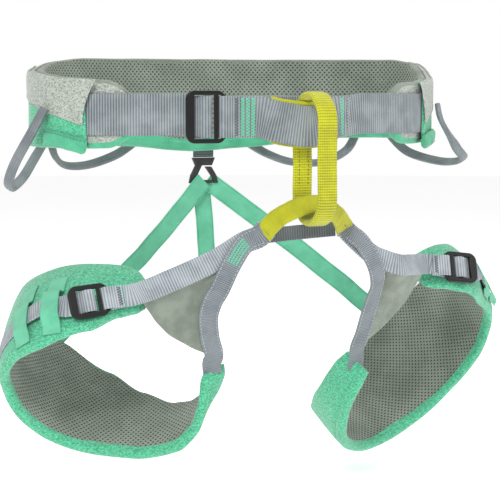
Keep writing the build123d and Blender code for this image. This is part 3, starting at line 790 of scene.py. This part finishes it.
def cover_lift(angle):
    """How far the cover stands off at its open ends."""
    nearest = min(abs(angle - MOUTHS[0]), abs(angle - MOUTHS[1]))
    return 1.0 * max(0, 1 - nearest / 9) ** 2


def make_waist_cover():
    """Cover over the belt webbing in two colours, with a groove between them, and its two wings."""
    lower_steps, upper_steps = 9, 7

    def outline(angle):
        low, high = pad_heights(angle)
        a, b = low + 0.8, high - 0.8
        lift = cover_lift(angle)
        outer = COVER_OUT + lift
        foot = PAD_OUT - 0.5
        lower = [(outer + COVER_ROLL * math.sin(math.pi * t * 0.5) ** 0.5, mix(a + 3, COVER_SPLIT - 0.6, t))
                 for t in span(0, 1, lower_steps)]
        groove = [(outer + 0.2, COVER_SPLIT)]
        upper = [(outer + COVER_ROLL * math.cos(math.pi * t * 0.5) ** 0.5, mix(COVER_SPLIT + 0.6, b - 3, t))
                 for t in span(0, 1, upper_steps)]
        over = [(mix(outer, foot, 0.2), b - 0.8), (mix(outer, foot, 0.7), b), (foot, b)]
        under = [(foot, a), (mix(outer, foot, 0.7), a), (mix(outer, foot, 0.2), a + 0.8)]
        back = [(foot - 0.1, b - 1), (COVER_IN + lift, b - 3.4), (COVER_IN + lift, a + 3.4),
                (foot - 0.1, a + 1)]
        return lower + groove + upper + over + back + under

    lower_count, under_count = lower_steps + 1, 3
    upper_count = len(outline(90)) - lower_count - under_count
    zones = [0] * lower_count + [1] * upper_count + [0] * under_count
    belt_loft("waist_outer_cover", *MOUTHS, outline, [MINT, MELANGE], mouth_slant, zones=zones, rough=0.7,
              replaces=("waist_cover",), slot="green_fabric")
    for name, mouth, end in zip(("wing_left", "wing_right"), MOUTHS, WING_ENDS):
        make_wing(name, mouth, end)
    piping = [(waist_point(a, COVER_OUT + COVER_ROLL, COVER_SPLIT), waist_normal(a))
              for a in span(WING_ENDS[0] - 1, WING_ENDS[1] + 1, 120)]
    threads("cover_seam_stitch", running_stitch(beside(piping, 2.2, 0.6)), GREY_THREAD, "waist")


def wing_low(angle, mouth, end):
    """Height of a wing's lower edge, which rises towards the back."""
    return mix(*WING_LOW, (angle - mouth) / (end - mouth))


def make_wing(name, mouth, end):
    """Grey flap over the cover's open end."""
    grid = []
    outward = 1 if end < mouth else -1
    for angle in span(mouth, end, 44):
        low = wing_low(angle, mouth, end)
        high = pad_heights(angle)[1] - 0.6
        reach = max(0, 1 - abs(angle - mouth) / MOUTH_REACH) ** 1.5
        row = []
        for z in span(low, high, 18):
            turned = angle + outward * mouth_bow(z) * reach
            lift = 1.2 + 0.9 * max(0, 1 - abs(angle - mouth) / 9) ** 2
            lift -= 1.0 * ease((z - high + 5) / 5) + 0.5 * ease((low + 2.5 - z) / 2.5)
            point = waist_point(turned, COVER_OUT + cover_lift(angle) * 0.5 + lift, z)
            row.append((point + crumple(point, DRAPE, 0.7), angle, z))
        grid.append(row)
    sheet(name + "_flap", grid, [MELANGE], "waist", 1.4, replaces=(name,), slot="melange")
    hem = []
    for angle in span(mouth, end, 40):
        low = wing_low(angle, mouth, end) + 1.8
        point = waist_point(angle, COVER_OUT + cover_lift(angle) * 0.5 + 1.9, low)
        hem.append((point + crumple(point, DRAPE, 0.7), waist_normal(angle)))
    threads(name + "_stitch", running_stitch(hem, 2.0, 1.3), GREY_THREAD, "waist", 0.26)


def make_tunnel(name, path):
    """Folded fabric roll that holds the ends of the gear loops."""
    stations = [(waist_point(a, COVER_OUT + out, z), waist_normal(a)) for a, out, z in path]
    width, height = 12, 5.4
    rings, us = [], []
    frames = path_frames(stations, 1.0)
    total = frames[-1][3]
    for point, side, up, u in frames:
        ends = min(1, 0.75 + 0.25 * min(u, total - u) / 3)
        pucker = 0.35 * math.sin(u * 1.1) + 0.3 * math.sin(u * 0.47 + 1)
        ring = []
        for a in span(0, 360, 20)[:-1]:
            turn = math.radians(a)
            across, rise = width / 2 * math.cos(turn), height / 2 * math.sin(turn)
            fold = pucker * math.cos(turn * 3)
            spot = point + side * (across * ends) + up * (rise * ends + fold)
            ring.append(spot + crumple(spot, 9, 0.9))
        rings.append(ring)
        us.append(u)
    rows = [[a / 18 for a in span(0, 360, 20)]] * len(rings)
    loft(name, rings, us, rows, [PLAIN_MINT], "waist", slot="green_fabric")
    seam = running_stitch(beside(stations, -4.6, 2.6), 1.8, 1.2)
    threads(name + "_stitch", seam, DARK_THREAD, "waist", 0.26)


# ---- belt webbing --------------------------------------------------------------------------------
def belt_path(points):
    """(point, normal) stations from (plan angle, distance out, height)."""
    return [(waist_point(a, out, z), waist_normal(a)) for a, out, z in points]


BELT_Z = -3                             # height of the belt webbing's middle at the front
BELT_SEAM = (-18, -3, 12)               # heights that a sewn bar across the belt passes
BARTACKS = (-104, -105.4, -106.8, -78)  # plan angles of the green sewn bars


def belt_strap(name, points, wave, node):
    webbing(name, belt_path(points), WAIST_WEB, WAIST_WEB_T, "waist", GREY_WEB, 2.3, wave=wave,
            replaces=(node,), slot="grey_webbing")


def belt_seam(name, angle, out, material, radius, **extra):
    """Zigzag seam straight across the belt webbing."""
    line = belt_path([(angle, out, z) for z in BELT_SEAM])
    threads(name, zigzag(line, 3.2, 2.4), material, "waist", radius, **extra)


def make_belt_webbing():
    """Webbing round the back, the two layers of the tie-in in front, and the seams that join them."""
    round_back = [(a, BELT_OUT, -1) for a in span(239.5, -70, 40)] + [(-77, BELT_OUT, BELT_Z)]
    inner = [(-79.3, BELT_OUT, BELT_Z), (-84, 3, BELT_Z), (-90.5, -1, BELT_Z), (-97, 3, BELT_Z),
             (-103, BELT_OUT, BELT_Z)]
    outer = [(-76.5, TIE_IN_OUT, BELT_Z), (-79.5, TIE_IN_OUT + 0.3, -3.5), (-84.5, 17.5, -7.5),
             (-90.5, 21, -10.5), (-97, 17.5, -7.5), (-102, TIE_IN_OUT + 0.3, -3.5),
             (-107.5, TIE_IN_OUT, BELT_Z)]
    belt_strap("belt_webbing", round_back, 0.25, "waist_webbing")
    belt_strap("tie_in_back_layer", inner, 0.5, "tie_in_inner_webbing")
    belt_strap("tie_in_front_layer", outer, 0.35, "tie_in_webbing")
    make_protector()
    top = TIE_IN_OUT + WAIST_WEB_T / 2 + 0.15
    for i, angle in enumerate(BARTACKS):
        belt_seam(f"waist_bartack_{i + 1}", angle, top, MINT_THREAD, 0.45,
                  replaces=(f"tie_in_bartack_{i + 1}",), slot="stitching")
    for word, angle in (("left", -109.6), ("right", -75.2)):
        belt_seam(f"waist_zigzag_{word}", angle, BELT_OUT + 1.3, GREY_THREAD, 0.32)


def make_protector():
    """Yellow sleeve inside the tie-in, with its edge rolled over the webbing's top."""
    sleeve = [(-82.8, 13.9, -5.9), (-85.7, 15.9, -8.5), (-90.5, 18.5, -9.6), (-96, 15.6, -7.9),
              (-99.5, 12.8, -5.2)]
    webbing("tie_in_sleeve", belt_path(sleeve), WAIST_WEB - 1, 0.9, "waist", YELLOW_SLEEVE, 0.9, 0.05,
            replaces=("tie_in_protector",), slot="yellow_webbing")
    for word, z, swell in (("top", WAIST_WEB / 2 + 0.5, 1.5), ("bottom", -WAIST_WEB / 2 - 0.2, 1.0)):
        edge = belt_path([(a, out + 1.1, height + z) for a, out, height in sleeve])
        webbing(f"tie_in_edge_{word}", edge, 3.6, swell * 1.5, "waist", YELLOW_SLEEVE, 2.0, 0.3, 4)


# ---- buckles -------------------------------------------------------------------------------------
class Plane:
    """Local frame of a buckle: strap along x, outside along z."""

    def __init__(self, origin, ahead, outward):
        self.origin = origin
        self.z = outward.normalized()
        self.x = (ahead - self.z * ahead.dot(self.z)).normalized()
        self.y = self.z.cross(self.x)

    def place(self, x, y, z):
        return self.origin + self.x * x + self.y * y + self.z * z

    def stations(self, points):
        result = []
        last = len(points) - 1
        for i, (x, z) in enumerate(points):
            a, b = points[max(i - 1, 0)], points[min(i + 1, last)]
            along = Vector((b[0] - a[0], b[1] - a[1])).normalized()
            result.append((self.place(x, 0, z), self.x * -along.y + self.z * along.x))
        return result


def waist_buckle_plane():
    """Frame of the waist buckle, at the gap between the belt webbing's ends."""
    angle = 248.3
    ahead = waist_point(angle + 2, 0, 0) - waist_point(angle - 2, 0, 0)
    return Plane(waist_point(angle, BELT_OUT + 2.9, -3), ahead, waist_normal(angle))


BUCKLE_ANGLE = {-1: 88.3, 1: 72.5}
BUCKLE_ALONG = {-1: 21, 1: 18.5}
BUCKLE_LIFT = {-1: 10.5, 1: 13}         # above the pad's outer face
BUCKLE_HEADING = {-1: Vector((0.9, -0.42, 0.22)), 1: Vector((-0.9, 0.42, -0.05))}


def leg_buckle_plane(side):
    """Frame of a leg buckle, leaning from the free webbing towards the pad."""
    angle, along = BUCKLE_ANGLE[side], BUCKLE_ALONG[side]
    outward = FREE_WEB_NORMAL[side].normalized().lerp(leg_normal(side, angle, along), 0.3)
    return Plane(leg_point(side, angle, LEG_OUT + BUCKLE_LIFT[side], along), BUCKLE_HEADING[side], outward)


def make_buckle(prefix, plane, web, body, slider_body, material):
    """Webbing of a buckle: the adjusting fold round its slider and the sewn fold round its anchor bar."""
    fold = [(-28, -2.85), (-24.5, -2.8), (-20.8, -1.7), (-18.1, 0.6), (-16.1, 2.2), (-13.5, 2.6),
            (-10.9, 1.9), (-9.4, 0), (-10.1, -2.6), (-12.9, -4.3), (-18, -4.9), (-23, -4.95), (-28, -4.95)]
    webbing(prefix + "_strap_fold", plane.stations(fold), web, TONGUE_WEB_T, slider_body, material, 2.0, 0.08,
            replaces=(prefix + "_fold",), slot="grey_webbing")
    r = BAR_R + GAP + TONGUE_WEB_T / 2
    turn = [(r * math.cos(math.radians(a)), r * math.sin(math.radians(a))) for a in range(100, 261, 40)]
    anchor = [(13, 1.15), (8.5, 1.3), (4, 2.3)] + turn + [(4, -2.3), (8.5, -1.3), (13, -1.15)]
    webbing(prefix + "_strap_anchor", plane.stations(anchor), web, TONGUE_WEB_T, body, material, 2.0, 0.08,
            replaces=(prefix + "_anchor",), slot="grey_webbing")
    line = [(plane.place(10.5, y, 2.0), plane.z) for y in span(-web / 2 + 1.5, web / 2 - 1.5, 6)]
    threads(prefix + "_stitch", zigzag(line, 3.4, 2.2), DARK_THREAD, body, 0.3)


def finish_hard_part(node, material, width):
    """Shown CAD part: its own mesh with softened edges and a material."""
    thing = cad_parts[node]
    thing.data.materials.clear()
    thing.data.materials.append(material)
    weld = thing.modifiers.new("weld", "WELD")
    weld.merge_threshold = 0.01 * SCALE
    soften = thing.modifiers.new("soften", "BEVEL")
    soften.width = width * SCALE
    soften.segments = 2
    soften.limit_method = "ANGLE"
    soften.angle_limit = math.radians(35)


# ---- belay loop, tie-in arch, rear clip ----------------------------------------------------------
def make_belay_loop():
    """Sewn loop of thick webbing round a long oval, with two lengthwise seams on its rear strand."""
    low, high, front, depth, thick, width = -90, 17, -112, 49, 5, 17
    r = (depth - thick) / 2
    centre_high, centre_low = high - thick / 2 - r, low + thick / 2 + r

    def half_turn(centre, begin):
        arc = [(math.cos(math.radians(a)), math.sin(math.radians(a))) for a in range(begin, begin + 181, 12)]
        return [(Vector((0, front + r * y, centre + r * z)), Vector((0, y, z))) for y, z in arc]

    straight = span(centre_high, centre_low, 12)[1:-1]
    down = [(Vector((0, front - r, z)), Vector((0, -1, 0))) for z in straight]
    up_again = [(Vector((0, front + r, z)), Vector((0, 1, 0))) for z in reversed(straight)]
    path = half_turn(centre_high, 0) + down + half_turn(centre_low, 180) + up_again
    path.append(path[0])
    pitch, wave_size, wave = 2.1, 26, 0.5
    frames = path_frames(path, pitch / 4, closed=True)
    total = frames[-1][3] + pitch / 4
    beats = round(total / pitch)
    profile = strap_profile(width, thick, 10)
    rings, us = [], []
    for point, side, up, u in frames:
        swell = 1 + 0.16 * math.cos(2 * math.pi * u * beats / total) / thick
        shift = crumple(point, wave_size, wave)
        rings.append([point + shift + side * s + up * (h * swell) for s, h in profile])
        us.append(u * beats * pitch / total)
    loft("belay_loop_webbing", rings, us, across_rows(profile, len(rings)), [YELLOW_WEB], "belay_loop",
         closed=True, replaces=("belay_loop",), slot="yellow_webbing")
    heights = span(centre_high - 2, centre_low + 8, 30)
    for i, x in enumerate((-4, 4)):
        for word, up in (("inner", -1), ("outer", 1)):
            line = []
            for z in heights:
                shift = crumple(Vector((0, front + r, z)), wave_size, wave)
                line.append((Vector((x, front + r + up * thick / 2, z)) + shift, Vector((0, up, 0))))
            threads(f"belay_seam_{word}_{i + 1}", running_stitch(line, 2.6, 0.9), OLIVE_THREAD, "belay_loop",
                    0.42)


def make_arch():
    """Sleeved lower tie-in arch with slanted stitched ends, and the strap that joins the leg loops."""
    arch = [(-38, -96, -95), (-25, -105, -81), (0, -111, -72), (23, -105, -81), (36, -96, -95)]
    out = [Vector((x, -0.86, 0.42)) for x in (-0.25, -0.2, -0.15, -0.25, -0.4)]
    stations = [(Vector(p), n) for p, n in zip(arch, out)]
    frames = path_frames(stations, 0.8)
    total = frames[-1][3]
    profile = strap_profile(16, 5.4, 10)
    rings, us = [], []
    for point, side, up, u in frames:
        near = min(u, total - u)
        flat = mix(0.62, 1, ease(near / 7))
        pleat = 0.25 * math.sin(u * 0.9) * ease(near / 10)
        ring = []
        for s, h in profile:
            spot = point + side * (s * mix(1.1, 1, ease(near / 6))) + up * (h * flat + pleat * (h > 0))
            ring.append(spot + crumple(spot, 11, 0.7))
        rings.append(ring)
        us.append(u)
    loft("arch_sleeve", rings, us, across_rows(profile, len(rings)), [YELLOW_SLEEVE], "waist",
         replaces=("lower_tie_in",), slot="yellow_webbing")
    across = path_frames(stations, 0.5)[0][1]
    for word, shares in (("left", (0.03, 0.09)), ("right", (0.91, 0.97))):
        for k, share in enumerate(shares):
            point, up = beside(stations, 0, 2.1, share, share, 0.5)[0]
            line = [(point + across * x, up) for x in span(-6.5, 6.5, 8)]
            threads(f"arch_stitch_{word}_{k + 1}", running_stitch(line, 1.8, 0.9), OLIVE_THREAD, "waist", 0.3)
    bridge = [(-33, -84, -99), (0, -82, -97), (33, -84, -95)]
    webbing("bridge_strap", [(Vector(p), Vector((0, -1, 0))) for p in bridge], 12, 2, "waist", DARK_WEB, 1.8,
            replaces=("leg_bridge",), slot="grey_webbing")


HOOK_X, HOOK_Y, HOOK_TOP, HOOK_LOW = -4, 101, -42, -65


def make_rear_clip():
    """Webbing tab below the belt, and the moulded clip with its springing arm."""
    tab = [(Vector((HOOK_X, HOOK_Y, HOOK_TOP + rise)), Vector((0, 1, 0))) for rise in (9.4, 5, 0.4)]
    webbing("clip_tab", tab, 20, 2, "waist", DARK_WEB, 1.8, replaces=("rear_hook_tab",), slot="grey_webbing")
    for node in ("rear_hook", "rear_hook_gate"):
        finish_hard_part(node, PLASTIC, 0.45)


def make_risers():
    """Elastic straps from the rear clip to the leg loops."""
    top = HOOK_LOW + 1
    front, behind = HOOK_Y - 3, HOOK_Y + 3
    paths = {"tail": [((-4, behind + 2, top - 2), (0, 1, 0)), ((-1, behind, top - 40), (0, 1, 0)),
                      ((1, behind - 3, top - 94), (0, 1, 0.1))]}
    for side, word, start, slack, angle, along in (
            (-1, "left", (-4, front + 1.2, top + 1.5), (6.6, -3, 0), 219, -54),
            (1, "right", (1, behind - 1, top + 1.5), (0, 0, 2), 202, -42)):
        start, end = Vector(start), leg_point(side, angle, LEG_OUT + 1.2, along)
        middle, late = start.lerp(end, 0.48) + Vector(slack), start.lerp(end, 0.85)
        paths[word] = [(start, (0.1 * side, 1, 0)), (middle, (0.2 * side, 1, 0)), (late, (0.3 * side, 1, 0)),
                       (end, leg_normal(side, angle, along))]
    for word, path in paths.items():
        stations = [(Vector(p), Vector(n)) for p, n in path]
        body = "waist" if word == "tail" else None
        riser = webbing(f"riser_strap_{word}", stations, RISER_WEB, 1.1, body, ELASTIC, 1.6, 0.05, wave=0.6,
                        replaces=(f"riser_{word}",), slot="green_elastic")
        if not body:
            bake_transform(riser)


# ---- gear loops ----------------------------------------------------------------------------------
GEAR_BASE = COVER_OUT + GAP + 2.8        # middle of a gear loop that rests on the cover
GEAR_PATHS = {                          # (plan angle, distance off the cover, height)
    "front_left": [(193, 2.2, 4), (190, 9, -14), (186, 18, -38), (181, 18, -54), (171, 12, -61),
                   (161, 7, -54), (154, 4, -39), (148, 2.2, -24)],
    "rear_left": [(145, 2.2, -24), (142, 3, -38), (136, 6, -46), (127, 6, -46), (118, 3, -38),
                  (112, 2.2, -27)],
    "rear_right": [(36, 2.2, -20), (40, 3, -36), (49, 6, -47), (60, 6, -47), (69, 3, -39), (76, 2.2, -28)],
    "front_right": [(-20, 2.2, 6), (-22, 6, -8), (-21, 19, -31), (-15, 25, -41), (0, 19, -45),
                    (14, 8, -37), (22, 2.2, -20)],
}


def make_gear_loop(word, path):
    """Stiff webbing tube with lengthwise grooves."""
    stations = []
    for i, (angle, out, z) in enumerate(path):
        turn = math.sin(math.pi * i / (len(path) - 1))
        lean = waist_normal(angle) + Vector((0, 0, -1.4 * turn))
        stations.append((waist_point(angle, GEAR_BASE + out, z), lean))
    profile = []
    for a in span(0, 360, 36)[:-1]:
        turn = math.radians(a)
        x, y = math.cos(turn), math.sin(turn)
        s = 4 * math.copysign(abs(x) ** 0.7, x)
        h = 2.2 * math.copysign(abs(y) ** 0.6, y)
        groove = 0.16 * math.cos(s * 2 * math.pi / 1.9) * abs(y) ** 0.5
        profile.append((s, h + math.copysign(groove, y)))
    rings, us = [], []
    for point, side, up, u in path_frames(stations, 1.2):
        rings.append([point + side * s + up * h for s, h in profile])
        us.append(u)
    name = f"gear_loop_{word}"
    loft(name + "_tube", rings, us, across_rows(profile, len(rings)), [TUBE_WEB], name, replaces=(name,),
         slot="grey_webbing")


# ---- leg loops -----------------------------------------------------------------------------------
def leg_loft(name, side, outline, materials, body, trim=0.0, **extra):
    """Band round a leg between its sewn ends; outline(angle, hip, knee) gives (out, along) corners."""
    keys = LEG_PAD[side]
    start, end = keys[0][0] + trim, keys[-1][0] - trim
    return band_loft(name, span(start, end, round((end - start) / 1.3)),
                     lambda angle: outline(angle, *smooth_value(keys, angle)),
                     lambda angle, out, along: leg_point(side, angle, out, along), materials, body, **extra)


def make_leg_pad(side, word):
    """Foam in its fabric with a sewn groove, the mesh lining and the seams of a leg loop."""
    body = f"leg_{word}"
    ends = (LEG_PAD[side][0][0], LEG_PAD[side][-1][0])

    def pad(angle, hip, knee):
        squeeze = end_squeeze(angle, ends, 5, 0.3)
        corners = pad_outline(hip, knee, LEG_OUT, 1.5, LEG_LIP, 0.8, squeeze)[0]
        seam = knee - LEG_SEAM
        return [(out - 0.9 * math.exp(-(((s - seam) / 1.1) ** 2)) * (out > 5), s) for out, s in corners]

    leg_loft(f"leg_pad_{word}", side, pad, [MINT], body, rough=0.6,
             replaces=(f"leg_shell_{word}", f"leg_foam_{word}"), slot="green_fabric")

    def lining(angle, hip, knee):
        return lining_outline(hip + 1.2, knee - LEG_LIP + 0.3, 0.9)

    leg_loft(f"leg_mesh_{word}", side, lining, [MESH], body, trim=1.0, replaces=(f"leg_lining_{word}",),
             slot="mesh")
    seam, edge = [], []
    for angle in span(ends[0] + 8, ends[1] - 6, 110):
        knee = smooth_value(LEG_PAD[side], angle)[1]
        normal = leg_frame(side, angle)[1]
        spot = leg_point(side, angle, LEG_OUT + 0.2, knee - LEG_SEAM)
        seam.append((spot + crumple(spot, DRAPE, 0.6), normal))
        spot = leg_point(side, angle, -0.1, knee - LEG_LIP + 0.6)
        edge.append((spot + crumple(spot, DRAPE, 0.6), -normal))
    threads(f"leg_seam_stitch_{word}", running_stitch(seam), MINT_THREAD, body, 0.3)
    threads(f"leg_lip_stitch_{word}", running_stitch(edge, 2.0, 0.8), MINT_THREAD, body, 0.26)


def front_web_stations(side):
    """Middle line of the front strap, from inside the arch to the leg buckle."""
    plane = leg_buckle_plane(side)
    ends = [plane.place(x, 0, 0) for x in (22, 14)]
    points = [leg_place(side, q) for q in [ARCH_ENTRY[side]] + LEG_FRONT_WEB[side]] + ends
    turns = span(0, 1, len(points) - 2) + [1]
    return [(p, FREE_WEB_NORMAL[side].lerp(plane.z, t**2)) for p, t in zip(points, turns)]


def inner_web_stations(side):
    """Middle line of the inner strap, from inside the arch down into the pocket at the pad's end."""
    line = [ARCH_ENTRY[side]] + LEG_INNER_WEB[side] + LEG_POCKET[side]
    return [(leg_place(side, q), FREE_WEB_NORMAL[side]) for q in line]


def make_panel(side, word):
    """Thin gusset between the free webbings, full along its free edge and slightly slack."""
    upper = beside(front_web_stations(side), side * (LEG_WEB / 2 - 2), -1.0, 0.28, 0.9, 1.0)
    lower = beside(inner_web_stations(side), -side * (LEG_WEB / 2 - 3), -1.0, 0.28, 0.84, 1.0)
    outward = ((upper[-1][0] + lower[-1][0]) / 2 - upper[0][0]).normalized()
    rows, columns = 22, 22
    grid = []
    for t in span(0, 1, rows):
        row = []
        a, c = upper[round(t * (len(upper) - 1))][0], lower[round(t * (len(lower) - 1))][0]
        for w in span(0, 1, columns):
            fullness = math.sin(math.pi * w)
            point = a.lerp(c, w) + outward * (7 * fullness * t * t)
            slack = 3.0 * fullness * math.sin(math.pi * min(1, t * 0.9))
            point = point - FREE_WEB_NORMAL[side].normalized() * slack
            row.append((point + crumple(point, 14, 0.8), t * 55, w * 50))
        grid.append(row)
    sheet(f"leg_gusset_{word}", grid, [SAGE], f"leg_{word}", 0.7, replaces=(f"leg_panel_{word}",),
          slot="grey_fabric")


def adjust_line(side, angle):
    """Distance towards the knee of the adjusting strap at an angle round the leg."""
    return BUCKLE_ALONG[side] + 0.03 * (angle - BUCKLE_ANGLE[side])


def adjust_stations(side, begin):
    """Middle of the adjusting strap from behind the buckle, under the keepers, to its end outside the leg."""
    plane = leg_buckle_plane(side)
    stations = [(plane.place(begin, 0, -3.9), plane.z), (plane.place(begin - 5, 0, -4.4), plane.z)]
    for turn, lift in ((31, 2), (38, 0.8), (46, -0.6), (56, -1.6), (66, -2.2), (78, -2.3), (88, -2.3)):
        angle = BUCKLE_ANGLE[side] + turn
        along = adjust_line(side, angle)
        stations.append((leg_point(side, angle, ADJUST_OUT + lift, along), leg_normal(side, angle, along)))
    return stations


def keeper_stations(side, angle):
    """Band over the adjusting strap, down to the pad on both sides; it stands higher next to the buckle."""
    middle = adjust_line(side, angle)
    height = 4.9 + 4.5 * max(0, 1 - (angle - BUCKLE_ANGLE[side] - 27) / 12)
    low, high = KEEPER_REACH[side]
    arc = [(low, -0.1), (low * 0.7, 0), (-18, 0.12), (-11.5, 0.8), (0, 0.85), (11.5, 0.8),
           (mix(11.5, high, 0.5), 0.2), (high, 0)]
    return [(leg_point(side, angle, LEG_OUT + 1.5 + rise * height, middle + s),
             leg_normal(side, angle, middle + s)) for s, rise in arc]


def leg_strap(name, stations, node, side_word, width=LEG_WEB, material=LEG_WEBBING, **extra):
    webbing(f"{name}_{side_word}", stations, width, LEG_WEB_T, f"leg_{side_word}", material,
            replaces=(f"{node}_{side_word}",), slot="grey_webbing", **extra)


def make_leg_straps(side, word):
    """Buckle, free straps, gusset, adjusting strap and keepers of a leg loop."""
    body = f"leg_{word}"
    make_buckle(f"leg_buckle_{word}", leg_buckle_plane(side), LEG_WEB, body, f"leg_slider_{word}",
                LEG_WEBBING)
    leg_strap("leg_front_strap", front_web_stations(side), "leg_front_webbing", word, wave=0.4)
    inner = inner_web_stations(side)
    # The inner strap takes the darker webbing, partly its own darker grey and partly painted shade.
    leg_strap("leg_inner_strap", inner, "leg_inner_webbing", word, LEG_WEB - 2, INNER_WEB, pitch=1.6,
              rib=0.09, wave=0.3)
    for k, shift in enumerate((-LEG_WEB / 2 + 2.6, LEG_WEB / 2 - 2.6)):
        threads(f"leg_inner_stitch_{word}_{k + 1}", running_stitch(beside(inner, shift, 0.95, 0.05, 0.85)),
                GREY_THREAD, body, 0.28)
    if side < 0:
        for k, shift in enumerate((-3.6, -1.2, 1.2, 3.6)):
            line = beside(inner, shift, 1.0, 0.13, 0.26, 1.0)
            threads(f"leg_bartack_{word}_{k + 1}", zigzag(line, 1.8, 2.0), MINT_THREAD, body, 0.36)
    make_panel(side, word)
    leg_strap("leg_tail_strap", adjust_stations(side, -27), "leg_adjust_strap", word, wave=0.4)
    for i, turn in enumerate(KEEPER_TURNS[side]):
        band = keeper_stations(side, BUCKLE_ANGLE[side] + turn)
        webbing(f"leg_keeper_band_{i + 1}_{word}", band, KEEPER_WEB, 0.8, body, ELASTIC, 1.6, 0.04,
                replaces=(f"leg_keeper_{i + 1}_{word}",), slot="green_elastic")


# ---- studio --------------------------------------------------------------------------------------
def make_floor():
    """Wide pale floor below the harness."""
    radius, rings, sides = 6.0, 24, 96
    level = cad_box[0].z - 0.02
    verts, faces = [Vector((0, 0, level))], []
    for i in range(1, rings + 1):
        for k in range(sides):
            a = 2 * math.pi * k / sides
            spoke = Vector((math.cos(a), math.sin(a), 0)) * (radius * (i / rings) ** 2)
            verts.append(spoke + Vector((0, 0, level)))
    for k in range(sides):
        n = (k + 1) % sides
        faces.append((0, 1 + k, 1 + n))
        for i in range(rings - 1):
            low, high = 1 + i * sides, 1 + (i + 1) * sides
            faces.append((low + k, high + k, high + n, low + n))
    mesh = bpy.data.meshes.new("floor")
    mesh.from_pydata(verts, [], faces)
    mesh.materials.append(floor_material("floor_paint"))
    thing = bpy.data.objects.new("floor", mesh)
    bpy.context.scene.collection.objects.link(thing)


CAMERA_TURN, CAMERA_RISE, CAMERA_DISTANCE = math.radians(-25), math.radians(5), 1.5
LENS, SENSOR = 127.06, 36
LOOK_AT = Vector((-0.008, -0.0075, -0.117))
LIGHTS = {                              # place, size and power
    "key": ((-1.3, -1.6, 1.5), 0.8, 33),
    "fill": ((1.6, -1.2, 0.7), 1.4, 11),
    "top": ((0.2, 0.6, 1.8), 1.2, 12),
}


def aim(thing, place, target):
    thing.location = place
    thing.rotation_mode = "QUATERNION"
    thing.rotation_quaternion = (target - place).to_track_quat("-Z", "Y")


def make_light(name, place, size, power):
    data = bpy.data.lights.new(name, "AREA")
    data.shape = "DISK"
    data.size = size
    data.energy = power
    thing = bpy.data.objects.new(name, data)
    bpy.context.scene.collection.objects.link(thing)
    aim(thing, Vector(place), LOOK_AT)


def make_studio():
    """White backdrop, soft lights and the camera, slightly above the belt and from the left."""
    scene = bpy.context.scene
    scene.view_settings.view_transform = "Standard"
    world = bpy.data.worlds.new("studio")
    world.use_nodes = True
    tree = world.node_tree
    seen = tree.nodes.new("ShaderNodeLightPath").outputs["Is Camera Ray"]
    level = tree.nodes.new("ShaderNodeMapRange")
    level.inputs["To Min"].default_value = 0.5
    tree.links.new(seen, level.inputs["Value"])
    tree.nodes["Background"].inputs[0].default_value = (1, 1, 1, 1)
    tree.links.new(level.outputs[0], tree.nodes["Background"].inputs[1])
    scene.world = world
    for name, (place, size, power) in LIGHTS.items():
        make_light(name, place, size, power)
    level_part = math.cos(CAMERA_RISE)
    back = Vector((math.sin(CAMERA_TURN) * level_part, -math.cos(CAMERA_TURN) * level_part,
                   math.sin(CAMERA_RISE)))
    data = bpy.data.cameras.new("camera")
    data.lens = LENS
    data.sensor_width = SENSOR
    camera = bpy.data.objects.new("camera", data)
    scene.collection.objects.link(camera)
    aim(camera, LOOK_AT + back * CAMERA_DISTANCE, LOOK_AT)
    scene.camera = camera


def main():
    make_waist_pad()
    make_waist_cover()
    make_belt_webbing()
    make_buckle("waist_buckle", waist_buckle_plane(), WAIST_WEB, "waist", "waist_slider", GREY_WEB)
    make_tunnel("tunnel_left", [(191, 1.2, -19), (197, 2.0, -20.5), (203, 2.6, -23.5), (209, 2.8, -26.5)])
    make_tunnel("tunnel_right", [(-22, 1.2, -20), (-28, 2.0, -21.5), (-34, 2.6, -24), (-38, 2.8, -26)])
    make_belay_loop()
    make_arch()
    make_rear_clip()
    make_risers()
    for word, path in GEAR_PATHS.items():
        make_gear_loop(word, path)
    for side, word in SIDES:
        make_leg_pad(side, word)
        make_leg_straps(side, word)
    for prefix in ("waist_buckle", "leg_buckle_left", "leg_buckle_right"):
        finish_hard_part(prefix + "_frame", BUCKLE, 0.35)
        finish_hard_part(prefix + "_slider", BUCKLE, 0.25)
    make_floor()
    make_studio()


main()
